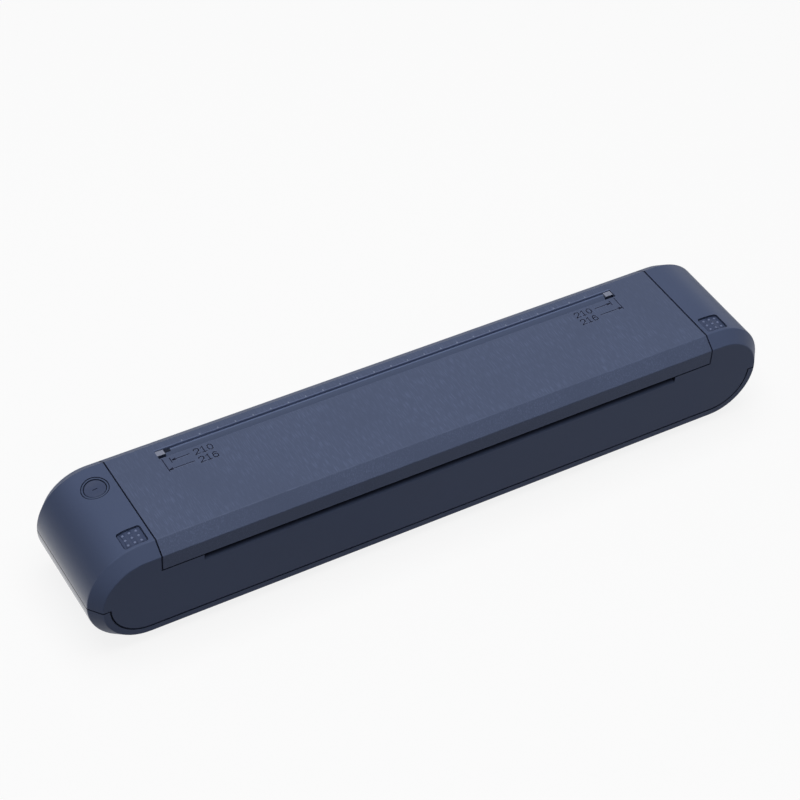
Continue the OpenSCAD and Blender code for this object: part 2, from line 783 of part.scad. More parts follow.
module cover_frame() {
    ear_low_x = inlet_w / 2 - ear_len;
    inner_guide_r = path_r - path_gap;
    guide_start = 27;
    guide_top = asin((inlet_front_y - 0.3 - bend_y) / inner_guide_r);
    guide_join = acos((bend_z - frame_low_z) / (inner_guide_r - guide_wall));
    ear_back_y = inlet_back_y + 1.1;
    color(navy_dark)
    difference() {
        union() {
            along_x(-cover_x + cheek_t + 1, cover_x - cheek_t - 1)
                polygon([
                    [frame_front_y, frame_low_z], [frame_back_y, frame_low_z],
                    [frame_back_y, frame_top_z], [frame_front_y, frame_top_z]
                ]);
            // inner paper guide
            along_x(-guide_half, guide_half)
                polygon(concat(
                    bend_arc(inner_guide_r, guide_start, guide_top, 10),
                    [[inlet_front_y - 0.3, frame_top_z], [head_back_y, frame_top_z], [head_back_y, frame_low_z]],
                    bend_arc(inner_guide_r - guide_wall, guide_join, guide_start, 8)
                ));
            for (i = [-3 : 3])
                along_x(i * rib_pitch - rib_t / 2, i * rib_pitch + rib_t / 2)
                    polygon([
                        [head_back_y + 2, frame_low_z + skin], bend_point(inner_guide_r - 0.5, guide_start + 2),
                        bend_point(inner_guide_r - 0.5, 50), [inlet_front_y - 2, frame_low_z + skin]
                    ]);
            both_ends() {
                // end plates joining the rear wall to the frame
                box([guide_half, head_back_y - 1, frame_top_z - 3], [guide_half + 3, ear_back_y, frame_top_z]);
                // hinge ears of the dust flap
                box([ear_low_x, flap_y - 1.7, frame_top_z - 2.4], [guide_half + skin, ear_back_y, frame_top_z]);
                box([ear_low_x, flap_y - 1.7, frame_top_z - skin], [inlet_w / 2 - 0.15, inlet_back_y - 0.15, top_z - 0.7]);
                // ears of the head pivot
                along_x(pivot_ear_x, pivot_ear_x + pivot_ear_t)
                    union() {
                        translate([pivot_y, pivot_z])
                            circle(r = 2.3);
                        polygon([
                            [pivot_y - 2.3, pivot_z], [pivot_y + 2.3, pivot_z],
                            [pivot_y + 3.2, frame_low_z + 0.5], [pivot_y - 3.6, frame_low_z + 0.5]
                        ]);
                    }
            }
            // rear wall behind the inlet
            box([-guide_half - 3, inlet_back_y + 0.1, frame_top_z - 3], [guide_half + 3, ear_back_y, frame_top_z]);
            // sockets round the head springs
            for (x = spring_places)
                rod_z(x, platen_y, frame_low_z - 1.2, frame_low_z + skin, head_spring_r + 1);
        }
        for (x = spring_places)
            rod_z(x, platen_y, frame_low_z - 1.2 - past, frame_low_z, head_spring_r + 0.2);
        rod_x(-inlet_w / 2 - past, inlet_w / 2 + past, flap_y, flap_z, flap_rod_r + skin);
        both_ends()
            rod_x(pivot_ear_x - past, pivot_ear_x + pivot_ear_t + past, pivot_y, pivot_z, pivot_r + run_fit);
        for (p = cover_screw_places())
            rod_z(p[0], p[1], frame_low_z - past, frame_top_z + past, screw_r + 0.1);
    }
}

module cover_screws() {
    color(steel)
    for (p = cover_screw_places())
        screw_up(p[0], p[1], frame_low_z - screw_head_h, frame_t + screw_head_h + 0.7);
}

// Steel strip with a saw edge inside the front of the cover
module tear_bar() {
    bar_y = -inner_y + (case_wall - cover_wall) + 0.05;
    pitch = 1.5;
    count = floor(exit_w / pitch) - 1;
    low = cover_low_z + 0.2;
    start = -count * pitch / 2;
    color(steel)
    along_y(bar_y, bar_y + 0.6)
        polygon(concat(
            [[start, low + 4], [start, low + 0.8]],
            [for (i = [0 : count - 1]) each [[start + (i + 0.5) * pitch, low], [start + (i + 1) * pitch, low + 0.8]]],
            [[-start, low + 4]]
        ));
}

module hinge_pins() {
    color(steel)
    both_ends()
        rod_x(cover_x - lug_len, cap_x + 3.5, hinge_y, hinge_z, hinge_pin_r);
}

module inlet_flap() {
    tip = [-flap_reach * cos(flap_slope), -flap_reach * sin(flap_slope)];
    across = [sin(flap_slope), -cos(flap_slope)];
    color(navy_dark)
    translate([0, flap_y, flap_z])
        difference() {
            union() {
                along_x(-flap_half, flap_half)
                    circle(r = flap_barrel_r, $fn = 32);
                along_x(-flap_half, flap_half)
                    polygon([
                        -flap_barrel_r * across, tip - flap_barrel_r * across,
                        tip - (flap_barrel_r - flap_t) * across, -(flap_barrel_r - flap_t) * across
                    ]);
            }
            along_x(-flap_half - past, flap_half + past)
                circle(r = flap_rod_r + run_fit);
            rod_x(-flap_half - past, -flap_half + flap_spring_len, 0, 0, flap_barrel_r + 0.1);
        }
}

module flap_rod() {
    color(steel)
    rod_x(-inlet_w / 2 + 0.3, inlet_w / 2 - 0.3, flap_y, flap_z, flap_rod_r);
}

module flap_spring() {
    color(steel)
    difference() {
        rod_x(-flap_half + 0.1, -flap_half + flap_spring_len - 0.2, flap_y, flap_z, flap_barrel_r);
        rod_x(-flap_half - past, -flap_half + flap_spring_len + past, flap_y, flap_z, flap_rod_r + skin);
    }
}

// ---- print head ----

module heat_sink() {
    color([0.75, 0.76, 0.78])
    difference() {
        union() {
            box([-head_half, head_front_y, sink_low_z], [head_half, head_back_y, sink_top_z]);
            both_ends()
                along_x(head_half - 6, head_half)
                    union() {
                        translate([pivot_y, pivot_z])
                            circle(r = sink_t / 2);
                        translate([head_back_y - skin, sink_low_z])
                            square([pivot_y - head_back_y + skin, sink_t]);
                    }
        }
        for (y = [head_front_y + 2.5, head_back_y - 4.5])
            box([-head_half - past, y, sink_top_z - 1.4], [head_half + past, y + 2, sink_top_z + past]);
        both_ends()
            rod_x(head_half - 6 - past, head_half + past, pivot_y, pivot_z, pivot_r + skin);
    }
}

module head_board() {
    color([0.88, 0.84, 0.74])
    difference() {
        box([-head_half + 0.5, head_front_y + 0.3, head_low_z], [head_half - 0.5, head_back_y - 0.3, sink_low_z]);
        // relief beyond the heater line
        box([-head_half - past, head_front_y, head_low_z - past], [head_half + past, platen_y - 2, head_low_z + 0.15]);
    }
}

module head_connector() {
    color(white)
    difference() {
        box([-head_half + 8, head_back_y - 2.2, sink_top_z], [-head_half + 28, head_back_y, sink_top_z + 1.8]);
        box([-head_half + 9, head_back_y - 1.4, sink_top_z + 0.6], [-head_half + 27, head_back_y + past, sink_top_z + 1.2]);
    }
}

module head_pivot_pins() {
    color(steel)
    both_ends()
        rod_x(head_half - 5.5, pivot_ear_x + pivot_ear_t + 0.4, pivot_y, pivot_z, pivot_r);
}

module head_springs() {
    color(steel)
    for (x = spring_places)
        difference() {
            rod_z(x, platen_y, sink_top_z + 0.05, frame_low_z - 0.05, head_spring_r);
            rod_z(x, platen_y, sink_top_z - past, frame_low_z + past, head_spring_r - 0.6);
        }
}

// ---- base mechanism ----

deck_x = bay_x - 0.4;
roller_slot_x = plate_out_x + 0.5;
deck_guide_end = 46;
gear_room_r = pitch_r(platen_teeth) + gear_m + 0.5;

module paper_deck() {
    outer_guide_r = path_r + path_gap;
    color(navy_dark)
    difference() {
        union() {
            box([-deck_x, -inner_y + 0.2, deck_z - deck_t], [deck_x, inner_y - 0.2, deck_z]);
            // outer paper guide and its ribs
            along_x(-guide_half, guide_half)
                polygon(concat(
                    bend_arc(outer_guide_r, 6, deck_guide_end, 12),
                    bend_arc(outer_guide_r + 1.4, deck_guide_end, 12, 10),
                    [[bend_y + 2, deck_z - skin]]
                ));
            for (i = [-3 : 3])
                along_x(i * rib_pitch - rib_t / 2, i * rib_pitch + rib_t / 2)
                    polygon([
                        bend_point(outer_guide_r + 0.7, 20), bend_point(outer_guide_r + 0.7, deck_guide_end - 2),
                        [bend_y + (outer_guide_r + 0.7) * sin(deck_guide_end - 2), deck_z - skin],
                        [bend_y + 5, deck_z - skin]
                    ]);
            // hood over the platen gear
            intersection() {
                rod_x(roller_slot_x, gear_step_x + 1.3, platen_y, platen_z, gear_room_r + 1);
                half_space(deck_z - skin, top_z);
            }
        }
        box([-roller_slot_x, platen_y - 7, deck_z - deck_t - past], [roller_slot_x, platen_y + 7, deck_z + past]);
        rod_x(plate_out_x + 0.3, gear_step_x + 0.5, platen_y, platen_z, gear_room_r);
        rod_z(sensor_x, sensor_y, deck_z - deck_t - past, deck_z + past, 1.2);
        for (p = deck_screw_places())
            rod_z(p[0], p[1], deck_z - deck_t - past, deck_z + past, screw_r + 0.1);
        for (p = deck_screw_places())
            rod_z(p[0], p[1], deck_z - 0.9, deck_z + past, screw_head_r - 0.4);
    }
}

module deck_screws() {
    color(steel)
    for (p = deck_screw_places()) {
        rod_z(p[0], p[1], deck_z - 0.9, deck_z - 0.1, screw_head_r - 0.6);
        rod_z(p[0], p[1], deck_z - deck_t - 2.6, deck_z - 0.9, screw_r);
    }
}

module paper_sensor() {
    color(black)
    box(
        [sensor_x - sensor_w / 2, sensor_y - sensor_d / 2, deck_z - deck_t - sensor_h],
        [sensor_x + sensor_w / 2, sensor_y + sensor_d / 2, deck_z - deck_t]
    );
}

module side_plate() {
    difference() {
        polygon([
            [chassis_front_y, chassis_floor_z], [chassis_back_y, chassis_floor_z],
            [chassis_back_y, platen_z], [platen_y + 5, chassis_top_z],
            [platen_y - 5, chassis_top_z], [chassis_front_y, platen_z]
        ]);
        translate([platen_y, platen_z])
            circle(r = bush_r() + skin);
    }
}

function bush_r() = journal_r + 1.2;

// U-shaped steel frame: floor, plain left side, and a right side that carries the gears and motor
module chassis() {
    color(steel)
    difference() {
        union() {
            along_x(-plate_out_x, -plate_x)
                side_plate();
            along_x(plate_x, plate_out_x)
                difference() {
                    union() {
                        side_plate();
                        polygon([
                            [train_y - 7, motor_z - 4], [motor_y + 8, motor_z - 9], [motor_y + 9.5, motor_z - 5],
                            [motor_y + 9.5, motor_z + 8], [train_y + 6, platen_z + 2], [train_y - 7, platen_z]
                        ]);
                    }
                    translate([platen_y, platen_z])
                        circle(r = bush_r() + skin);
                    translate([motor_y, motor_z])
                        circle(r = motor_shaft_r + 1.2);
                }
            box([-plate_out_x, chassis_front_y, chassis_floor_z], [plate_out_x, chassis_back_y, chassis_floor_z + plate_t]);
        }
        rod_x(plate_x, plate_out_x + past, train_y, train_z, axle_r + skin);
        for (p = posts)
            rod_z(p[0], p[1], chassis_floor_z - past, chassis_floor_z + plate_t + past, screw_r + 0.1);
        // lightening holes
        for (i = [-3 : 3])
            translate([i * hole_pitch, (chassis_front_y + chassis_back_y) / 2])
                upwards(chassis_floor_z - past, chassis_floor_z + plate_t + past)
                    pad_outline(hole_pitch - hole_web, chassis_front + chassis_back - 2 * hole_edge, 2);
    }
}

module chassis_screws() {
    color(steel)
    for (p = posts)
        screw_down(p[0], p[1], chassis_floor_z + plate_t + screw_head_h, screw_head_h + plate_t + 5);
}

module platen_bushes() {
    color(white)
    both_ends()
        difference() {
            union() {
                rod_x(plate_x - 0.8, plate_x, platen_y, platen_z, bush_r() + 1);
                rod_x(plate_x - skin, plate_out_x + 0.4, platen_y, platen_z, bush_r());
            }
            rod_x(plate_x - past, plate_out_x + past, platen_y, platen_z, journal_r + run_fit);
        }
}

module platen_shaft() {
    color(steel)
    union() {
        rod_x(-guide_half, guide_half, platen_y, platen_z, core_r);
        rod_x(-plate_out_x - 1.6, gear_step_x, platen_y, platen_z, journal_r);
    }
}

module platen_rubber() {
    color(black)
    difference() {
        rod_x(-paper_w / 2, paper_w / 2, platen_y, platen_z, platen_r);
        rod_x(-paper_w, paper_w, platen_y, platen_z, core_r);
    }
}

module platen_gear() {
    color(white)
    difference() {
        gear(platen_teeth, gear_in_x, gear_step_x, platen_y, platen_z, train_angle);
        rod_x(gear_in_x - past, gear_step_x + past, platen_y, platen_z, journal_r);
    }
}

module reduction_gear() {
    color(white)
    difference() {
        union() {
            gear(pinion_teeth, gear_in_x, wheel_in_x + skin, train_y, train_z, train_angle + 180 + 180 / pinion_teeth);
            gear(wheel_teeth, wheel_in_x, wheel_out_x, train_y, train_z, motor_angle);
        }
        rod_x(gear_in_x - past, wheel_out_x + past, train_y, train_z, axle_r + run_fit);
    }
}

module gear_axle() {
    color(steel)
    union() {
        rod_x(plate_x, wheel_out_x + 0.4, train_y, train_z, axle_r);
        rod_x(wheel_out_x + 0.4, wheel_out_x + 1, train_y, train_z, axle_r + 0.9);
        rod_x(plate_out_x, gear_in_x - 0.2, train_y, train_z, axle_r + 1);
    }
}

module motor_can() {
    color([0.55, 0.56, 0.58])
    difference() {
        union() {
            rod_x(plate_x - motor_len, plate_x - 0.8, motor_y, motor_z, motor_r);
            rod_x(plate_x - 0.8, plate_x, motor_y, motor_z, motor_r - 1);
            box(
                [plate_x - motor_len + 3, motor_y - 5, motor_z + motor_r - 1.2],
                [plate_x - motor_len + 10, motor_y + 5, motor_z + motor_r + 1.4]
            );
        }
        rod_x(plate_x - motor_len + 2, plate_x + past, motor_y, motor_z, motor_shaft_r + run_fit);
    }
}

module motor_shaft() {
    color(steel)
    rod_x(plate_x - motor_len + 2.3, wheel_out_x + 0.3, motor_y, motor_z, motor_shaft_r);
}

module motor_pinion() {
    color([0.80, 0.68, 0.35])
    difference() {
        gear(pinion_teeth, wheel_in_x, wheel_out_x, motor_y, motor_z, motor_angle + 180 + 180 / pinion_teeth);
        rod_x(wheel_in_x - past, wheel_out_x + past, motor_y, motor_z, motor_shaft_r);
    }
}

// ---- electronics ----

module battery_tray() {
    tray_x0 = cell_x - tray_wall;
    tray_x1 = cell_x + cell_len + tray_wall;
    tray_y = cell_y + cell_r + 0.2;
    color(black)
    difference() {
        box([tray_x0, -tray_y - 1, floor_z], [tray_x1, tray_y + 1, cell_z - 1]);
        for (side = [-1, 1]) {
            rod_x(cell_x - 0.3, cell_x + cell_len + 0.3, side * cell_y, cell_z, cell_r + 0.05);
            box(
                [cell_x - 0.3, side * cell_y - cell_r, cell_z],
                [cell_x + cell_len + 0.3, side * cell_y + cell_r, cell_z + cell_r]
            );
        }
    }
}

module battery_cells() {
    color([0.25, 0.45, 0.70])
    for (side = [-1, 1]) {
        rod_x(cell_x, cell_x + cell_len - 1.2, side * cell_y, cell_z, cell_r);
        rod_x(cell_x + cell_len - 1.2, cell_x + cell_len, side * cell_y, cell_z, 3);
    }
}

module main_board() {
    color(board_green)
    difference() {
        box([pcb_x, pcb_front_y, pcb_z], [pcb_end_x, pcb_back_y, pcb_z + pcb_t]);
        for (p = pcb_posts())
            rod_z(p[0], p[1], pcb_z - past, pcb_z + pcb_t + past, screw_r + 0.1);
        // notch round the rear case boss
        rod_z(0, side_boss_y, pcb_z - past, pcb_z + pcb_t + past, boss_r + 0.4);
    }
}

// Front left corner and size of each chip, of each capacitor and of each connector
chip_h = 1.4;
chip_y = pcb_front_y + 13;
function chips() = [
    [pcb_x + 14, chip_y, 14], [pcb_end_x - 54, chip_y + 4, 10], [pcb_end_x - 34, chip_y + 2, 8]
];
cap_r = 4;
cap_h = 10;
function cap_places() = [for (in = [24, 14]) [pcb_end_x - in, pcb_front_y + cap_r + 2]];
plug_w = 10;
plug_d = 5;
plug_h = 5;
plug_wall = 0.8;
function plug_places() = [for (in = [8, 22, 40]) [pcb_x + in, pcb_front_y + 1]];

module main_chip() {
    color(black)
    for (c = chips())
        box([c[0], c[1], pcb_z + pcb_t], [c[0] + c[2], c[1] + c[2], pcb_z + pcb_t + chip_h]);
}

module board_capacitors() {
    color([0.30, 0.32, 0.38])
    for (p = cap_places())
        rod_z(p[0], p[1], pcb_z + pcb_t, pcb_z + pcb_t + cap_h, cap_r);
}

module board_connectors() {
    color(white)
    for (p = plug_places())
        translate([p[0], p[1], pcb_z + pcb_t])
            difference() {
                cube([plug_w, plug_d, plug_h]);
                translate([plug_wall, plug_wall, 1.2])
                    cube([plug_w - 2 * plug_wall, plug_d - 2 * plug_wall, plug_h]);
            }
}

module board_screws() {
    color(steel)
    for (p = pcb_posts())
        screw_down(p[0], p[1], pcb_z + pcb_t + screw_head_h, screw_head_h + pcb_t + 3.4);
}

module usb_socket() {
    color(steel)
    translate([usb_x, 0, usb_z()])
        difference() {
            rotate([90, 0, 180])
                translate([0, 0, front_y - 8])
                    linear_extrude(7.6)
                        pad_outline(usb_w, usb_h, usb_h / 2 - 0.1);
            rotate([90, 0, 180])
                translate([0, 0, front_y - 6.5])
                    linear_extrude(8)
                        difference() {
                            pad_outline(usb_w - 0.7, usb_h - 0.7, usb_h / 2 - 0.5);
                            square([usb_w - 2.6, 0.7], center = true);
                        }
        }
}

// ---- controls ----

module button_board() {
    color(board_green)
    difference() {
        box(
            [-power_x - board_out, power_y - board_front, board_top_z - board_thick],
            [-power_x + board_over, power_y + board_back, board_top_z]
        );
        for (p = board_posts())
            rod_z(p[0], p[1], board_top_z - board_thick - past, board_top_z + past, 0.8);
    }
}

module tact_switch() {
    color(black)
    difference() {
        box([-power_x - 3, power_y - 3, board_top_z], [-power_x + 3, power_y + 3, power_low_z - 1]);
        rod_z(-power_x, power_y, board_top_z + 1, top_z, 1.8);
    }
}

module switch_plunger() {
    color([0.55, 0.15, 0.12])
    rod_z(-power_x, power_y, board_top_z + 1 + power_travel + 0.3, power_low_z, 1.7);
}

module power_button() {
    color(navy_dark)
    difference() {
        union() {
            intersection() {
                rod_z(-power_x, power_y, power_low_z, top_z, power_r);
                case_form(0.3);
            }
            rod_z(-power_x, power_y, power_low_z, power_low_z + 0.8, power_flange_r);
        }
        translate([-power_x, power_y, power_z + 13.2])
            sphere(r = 14, $fn = 96);
    }
}

module light_ring() {
    color([0.55, 0.60, 0.70])
    intersection() {
        difference() {
            rod_z(-power_x, power_y, power_low_z + 1, top_z, power_r + ring_w + 0.15);
            rod_z(-power_x, power_y, power_low_z, top_z + past, power_r + 0.15);
        }
        case_form(0.1);
    }
}

// Height of a release button's face at a place along the case
function pad_z(x) = mid_z + sqrt(pow(end_r - 0.7, 2) - pow(max(0, x - end_x), 2));

module release_button() {
    color(navy_dark)
    union() {
        intersection() {
            translate([release_x, -release_y])
                upwards(release_under_z, top_z)
                    pad_outline(release_w, release_d, 0.7);
            case_form(0.7);
        }
        translate([release_x, -release_y])
            upwards(release_under_z, release_under_z + 1)
                pad_outline(release_w + 2 * release_flange, release_d + 2 * release_flange, 0.7);
        rod_z(stem_x, -release_y, lever_top_z + 0.4, release_under_z + skin, stem_r);
        for (i = [-1 : 1])
            for (j = [-1 : 1])
                translate([
                    release_x + i * bump_pitch, -release_y + j * bump_pitch * 0.95,
                    pad_z(release_x + i * bump_pitch) - 0.25
                ])
                    sphere(r = 0.6, $fn = 24);
    }
}

module release_spring() {
    color(steel)
    difference() {
        rod_z(release_x - 2, -release_y, shelf_top_z, release_under_z - 0.05, 1.8);
        rod_z(release_x - 2, -release_y, shelf_top_z - past, release_under_z + past, 1.3);
    }
}

module latch_lever() {
    y0 = -release_y - release_d / 2 + 1.2;
    color(white)
    difference() {
        union() {
            rod_y(latch_x, latch_z, y0, nose_y + nose_w, lever_barrel_r);
            box(
                [latch_x, -release_y - 2.5, lever_top_z - 1.6],
                [latch_x + lever_reach + 1.2, -release_y + 2.5, lever_top_z]
            );
            box(
                [latch_x - lever_barrel_r, nose_y, latch_z],
                [latch_x - lever_barrel_r + 1.6, nose_y + nose_w, nose_z + nose_h]
            );
            along_y(nose_y, nose_y + nose_w)
                polygon([
                    [cover_x + 0.25, nose_z], [latch_x - lever_barrel_r + skin, nose_z],
                    [latch_x - lever_barrel_r + skin, nose_z + nose_h], [cover_x + 1.2, nose_z + nose_h],
                    [cover_x + 0.25, nose_z + 0.5]
                ]);
        }
        rod_y(latch_x, latch_z, y0 - past, nose_y + nose_w + past, lever_pin_r + run_fit);
    }
}

module latch_pins() {
    color(steel)
    both_ends()
        rod_y(latch_x, latch_z, lever_ears()[0] - 0.2, lever_ears()[1] + 1.4, lever_pin_r);
}

module release_button_left() {
    mirror([1, 0, 0])
        release_button();
}

module release_button_right() {
    release_button();
}

module release_spring_left() {
    mirror([1, 0, 0])
        release_spring();
}

module release_spring_right() {
    release_spring();
}

module latch_lever_left() {
    mirror([1, 0, 0])
        latch_lever();
}

module latch_lever_right() {
    latch_lever();
}

lower_case();
upper_case();
rubber_feet();
case_screws();
top_cover();
cover_frame();
cover_screws();
tear_bar();
hinge_pins();
inlet_flap();
flap_rod();
flap_spring();
heat_sink();
head_board();
head_connector();
head_pivot_pins();
head_springs();
paper_deck();
deck_screws();
paper_sensor();
chassis();
chassis_screws();
platen_bushes();
platen_shaft();
platen_rubber();
platen_gear();
reduction_gear();
gear_axle();
motor_can();
motor_shaft();
motor_pinion();
battery_tray();
battery_cells();
main_board();
main_chip();
board_capacitors();
board_connectors();
board_screws();
usb_socket();
button_board();
tact_switch();
switch_plunger();
power_button();
light_ring();
release_button_left();
release_button_right();
release_spring_left();
release_spring_right();
latch_lever_left();
latch_lever_right();
latch_pins();
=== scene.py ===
import json
import math

import bmesh
import bpy
import numpy as np
from mathutils import Matrix, Vector


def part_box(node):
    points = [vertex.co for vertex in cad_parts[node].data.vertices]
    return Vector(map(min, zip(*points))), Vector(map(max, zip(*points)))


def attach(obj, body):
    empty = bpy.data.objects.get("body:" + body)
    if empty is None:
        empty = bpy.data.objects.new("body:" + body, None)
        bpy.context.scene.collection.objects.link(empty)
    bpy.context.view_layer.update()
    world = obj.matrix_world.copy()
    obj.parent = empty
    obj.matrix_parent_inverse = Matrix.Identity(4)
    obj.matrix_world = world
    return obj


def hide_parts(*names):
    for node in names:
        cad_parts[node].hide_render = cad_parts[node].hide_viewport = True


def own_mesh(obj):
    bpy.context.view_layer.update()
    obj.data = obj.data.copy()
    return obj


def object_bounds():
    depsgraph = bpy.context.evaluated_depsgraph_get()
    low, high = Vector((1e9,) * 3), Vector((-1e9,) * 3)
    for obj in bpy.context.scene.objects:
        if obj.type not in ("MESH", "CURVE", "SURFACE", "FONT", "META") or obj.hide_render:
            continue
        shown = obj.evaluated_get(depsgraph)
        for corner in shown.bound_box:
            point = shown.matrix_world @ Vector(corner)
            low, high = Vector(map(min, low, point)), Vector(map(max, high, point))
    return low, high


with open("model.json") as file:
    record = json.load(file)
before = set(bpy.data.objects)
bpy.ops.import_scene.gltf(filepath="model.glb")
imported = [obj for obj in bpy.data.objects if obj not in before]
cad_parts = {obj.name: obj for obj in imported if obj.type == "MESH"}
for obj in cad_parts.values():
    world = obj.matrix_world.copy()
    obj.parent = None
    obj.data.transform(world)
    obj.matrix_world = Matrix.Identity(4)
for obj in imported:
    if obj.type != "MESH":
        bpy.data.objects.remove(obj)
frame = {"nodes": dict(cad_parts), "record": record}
cad_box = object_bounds()

MM = 0.001

# ---- sizes of the case: boxes from the frame, and the forms between them ----

case_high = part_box("upper_case")[1]
case_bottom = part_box("lower_case")[0].z
cover_low, cover_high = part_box("top_cover")
TOP = case_high.z
FRONT = case_high.y
END_R = (TOP - case_bottom) / 2
END_X = case_high.x - END_R
MID_Z = case_bottom + END_R
COVER_X = cover_high.x
COVER_LOW = cover_low.z
# the sloping band between the case's wall and its front and back faces
BAND_DEPTH = 5.5 * MM
BAND_INSET = 4.4 * MM
BAND_SLOPE = math.hypot(BAND_DEPTH, BAND_INSET)
SEAM = 0.3 * MM
GROOVE_INSET = BAND_INSET + 3.2 * MM
HINGE_SEAM_Z = TOP - 7 * MM
ring_low, ring_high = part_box("light_ring")
POWER = (ring_low + ring_high) / 2
POWER_HOLE_R = (ring_high.x - ring_low.x) / 2 + 0.1 * MM
pad_low, pad_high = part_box("release_button_right")
PAD = (pad_low + pad_high) / 2
PAD_HALF = (pad_high - pad_low) / 2 - Vector((0.5, 0.5, 0)) * MM
# the paper inlet: its rear wall, and half its length
SLOT_BACK = 20.0 * MM
SLOT_X = 109 * MM
# the paper exit: half its length, and how its lip lies under the cover
EXIT_X = 111 * MM
LIP_BELOW = 3.5 * MM
LIP_DEEP = 6 * MM
# rounding of outer edges, beside a seam and elsewhere
SEAM_EDGE = 0.17 * MM
OUTER_EDGE = 0.3 * MM
# the dark line of painted shade that each seam shows, standing for the shade in its gap
SEAM_SHADE_WIDE = 0.42 * MM
SEAM_SHADE_DEEP = 0.5 * MM
SQUARE = ((-1, -1), (1, -1), (1, 1), (-1, 1))


# ---- node trees written as formulas ----

class Part:
    """One node socket; sums on it add Math nodes."""

    def __init__(self, net, socket):
        self.net = net
        self.socket = socket

    def math(self, operation, first, second=0.0):
        return self.net.add("ShaderNodeMath", {"operation": operation}, {0: first, 1: second})

    def __add__(self, other):
        return self.math("ADD", self, other)

    def __radd__(self, other):
        return self.math("ADD", other, self)

    def __sub__(self, other):
        return self.math("SUBTRACT", self, other)

    def __rsub__(self, other):
        return self.math("SUBTRACT", other, self)

    def __mul__(self, other):
        return self.math("MULTIPLY", self, other)

    def __rmul__(self, other):
        return self.math("MULTIPLY", other, self)

    def __truediv__(self, other):
        return self.math("DIVIDE", self, other)

    def __rtruediv__(self, other):
        return self.math("DIVIDE", other, self)

    def above(self, level):
        return self.math("GREATER_THAN", self, level)

    def at_most(self, level):
        return self.math("MINIMUM", self, level)

    def at_least(self, level):
        return self.math("MAXIMUM", self, level)


class Net:
    """A shader or geometry tree, with one method that adds any node."""

    def __init__(self, tree):
        self.tree = tree

    def add(self, kind, settings=None, sockets=None, out=0):
        made = self.tree.nodes.new(kind)
        for name, value in (settings or {}).items():
            if name == "stops":
                self.fill_ramp(made.color_ramp, value)
            else:
                setattr(made, name, value)
        for name, value in (sockets or {}).items():
            socket = self.find(made.inputs, name)
            if isinstance(value, Part):
                self.tree.links.new(value.socket, socket)
            else:
                socket.default_value = value
        return Part(self, self.find(made.outputs, out)) if made.outputs else None

    @staticmethod
    def find(sockets, name):
        if isinstance(name, str):
            for socket in sockets:
                if socket.identifier == name:
                    return socket
        return sockets[name]

    @staticmethod
    def fill_ramp(ramp, stops):
        while len(ramp.elements) < len(stops):
            ramp.elements.new(1.0)
        for element, (place, level) in zip(ramp.elements, stops):
            element.position = place
            element.color = (level, level, level, 1.0)

    # the few nodes that most finishes share

    def noise(self, place, size, detail=2.0, stretch=(1, 1, 1), seed=0.0):
        """Noise whose blobs are about size across, in metres."""
        spread = self.add(
            "ShaderNodeMapping", None,
            {"Vector": place, "Scale": [s / size for s in stretch], "Location": (seed, seed, seed)},
        )
        return self.add("ShaderNodeTexNoise", None, {"Vector": spread, "Scale": 1.0, "Detail": detail}, "Fac")

    def cells(self, place, size):
        """Cells about size across, in metres, brighter away from their middles."""
        spread = self.add("ShaderNodeMapping", None, {"Vector": place, "Scale": [1 / size] * 3})
        sockets = {"Vector": spread, "Scale": 1.0}
        return self.add("ShaderNodeTexVoronoi", {"feature": "F1"}, sockets, "Distance")

    def ramp(self, value, stops):
        return self.add("ShaderNodeValToRGB", {"stops": stops}, {"Fac": value})

    def mix(self, amount, first, second):
        """Blends two colours."""
        return self.add(
            "ShaderNodeMix", {"data_type": "RGBA"},
            {"Factor_Float": amount, "A_Color": first, "B_Color": second}, "Result_Color",
        )

    def bump(self, height, depth):
        """A bump that is depth metres high where height runs from 0 to 1."""
        return self.add("ShaderNodeBump", None, {"Height": height, "Distance": depth, "Strength": 1.0})

    def attribute(self, name):
        return self.add("ShaderNodeAttribute", {"attribute_name": name}, None, "Fac")

    def axes(self, place):
        made = self.tree.nodes.new("ShaderNodeSeparateXYZ")
        self.tree.links.new(place.socket, made.inputs[0])
        return [Part(self, socket) for socket in made.outputs]


def shade(red, green, blue):
    """A colour as a screen shows it, as linear light."""
    def linear(level):
        level = level / 255
        return level / 12.92 if level <= 0.04045 else ((level + 0.055) / 1.055) ** 2.4
    return (linear(red), linear(green), linear(blue), 1.0)


def scaled(colour, gain):
    return (colour[0] * gain, colour[1] * gain, colour[2] * gain, 1.0)


def emptied(owner):
    """The cleared node tree of a material or a world."""
    owner.use_nodes = True
    owner.node_tree.nodes.clear()
    return Net(owner.node_tree)


def finish(name, recipe, **constants):
    """A material whose recipe gives what varies over the surface."""
    made = bpy.data.materials.new(name)
    net = emptied(made)
    place = net.add("ShaderNodeTexCoord", None, None, "Object")
    sockets = {key.replace("_", " "): value for key, value in constants.items()}
    sockets.update(recipe(net, place))
    shader = net.add("ShaderNodeBsdfPrincipled", None, sockets)
    net.add("ShaderNodeOutputMaterial", None, {"Surface": shader})
    return made


def satin(name, recipe, **constants):
    """A finish that mirrors little of the pale floor."""
    return finish(name, recipe, Specular_IOR_Level=0.1, **constants)


def metal(name, recipe):
    return finish(name, recipe, Metallic=1.0)


# ---- finishes ----

# painted shade: the near-black navy that seams, gaps and shaded places are darkened towards
PAINTED_SHADE_TONE = shade(9, 12, 26)
# painted light: the pale tone of the lit tops of hinge ears and grip bumps
PALE_PAINTED_LIGHT = shade(150, 155, 172)


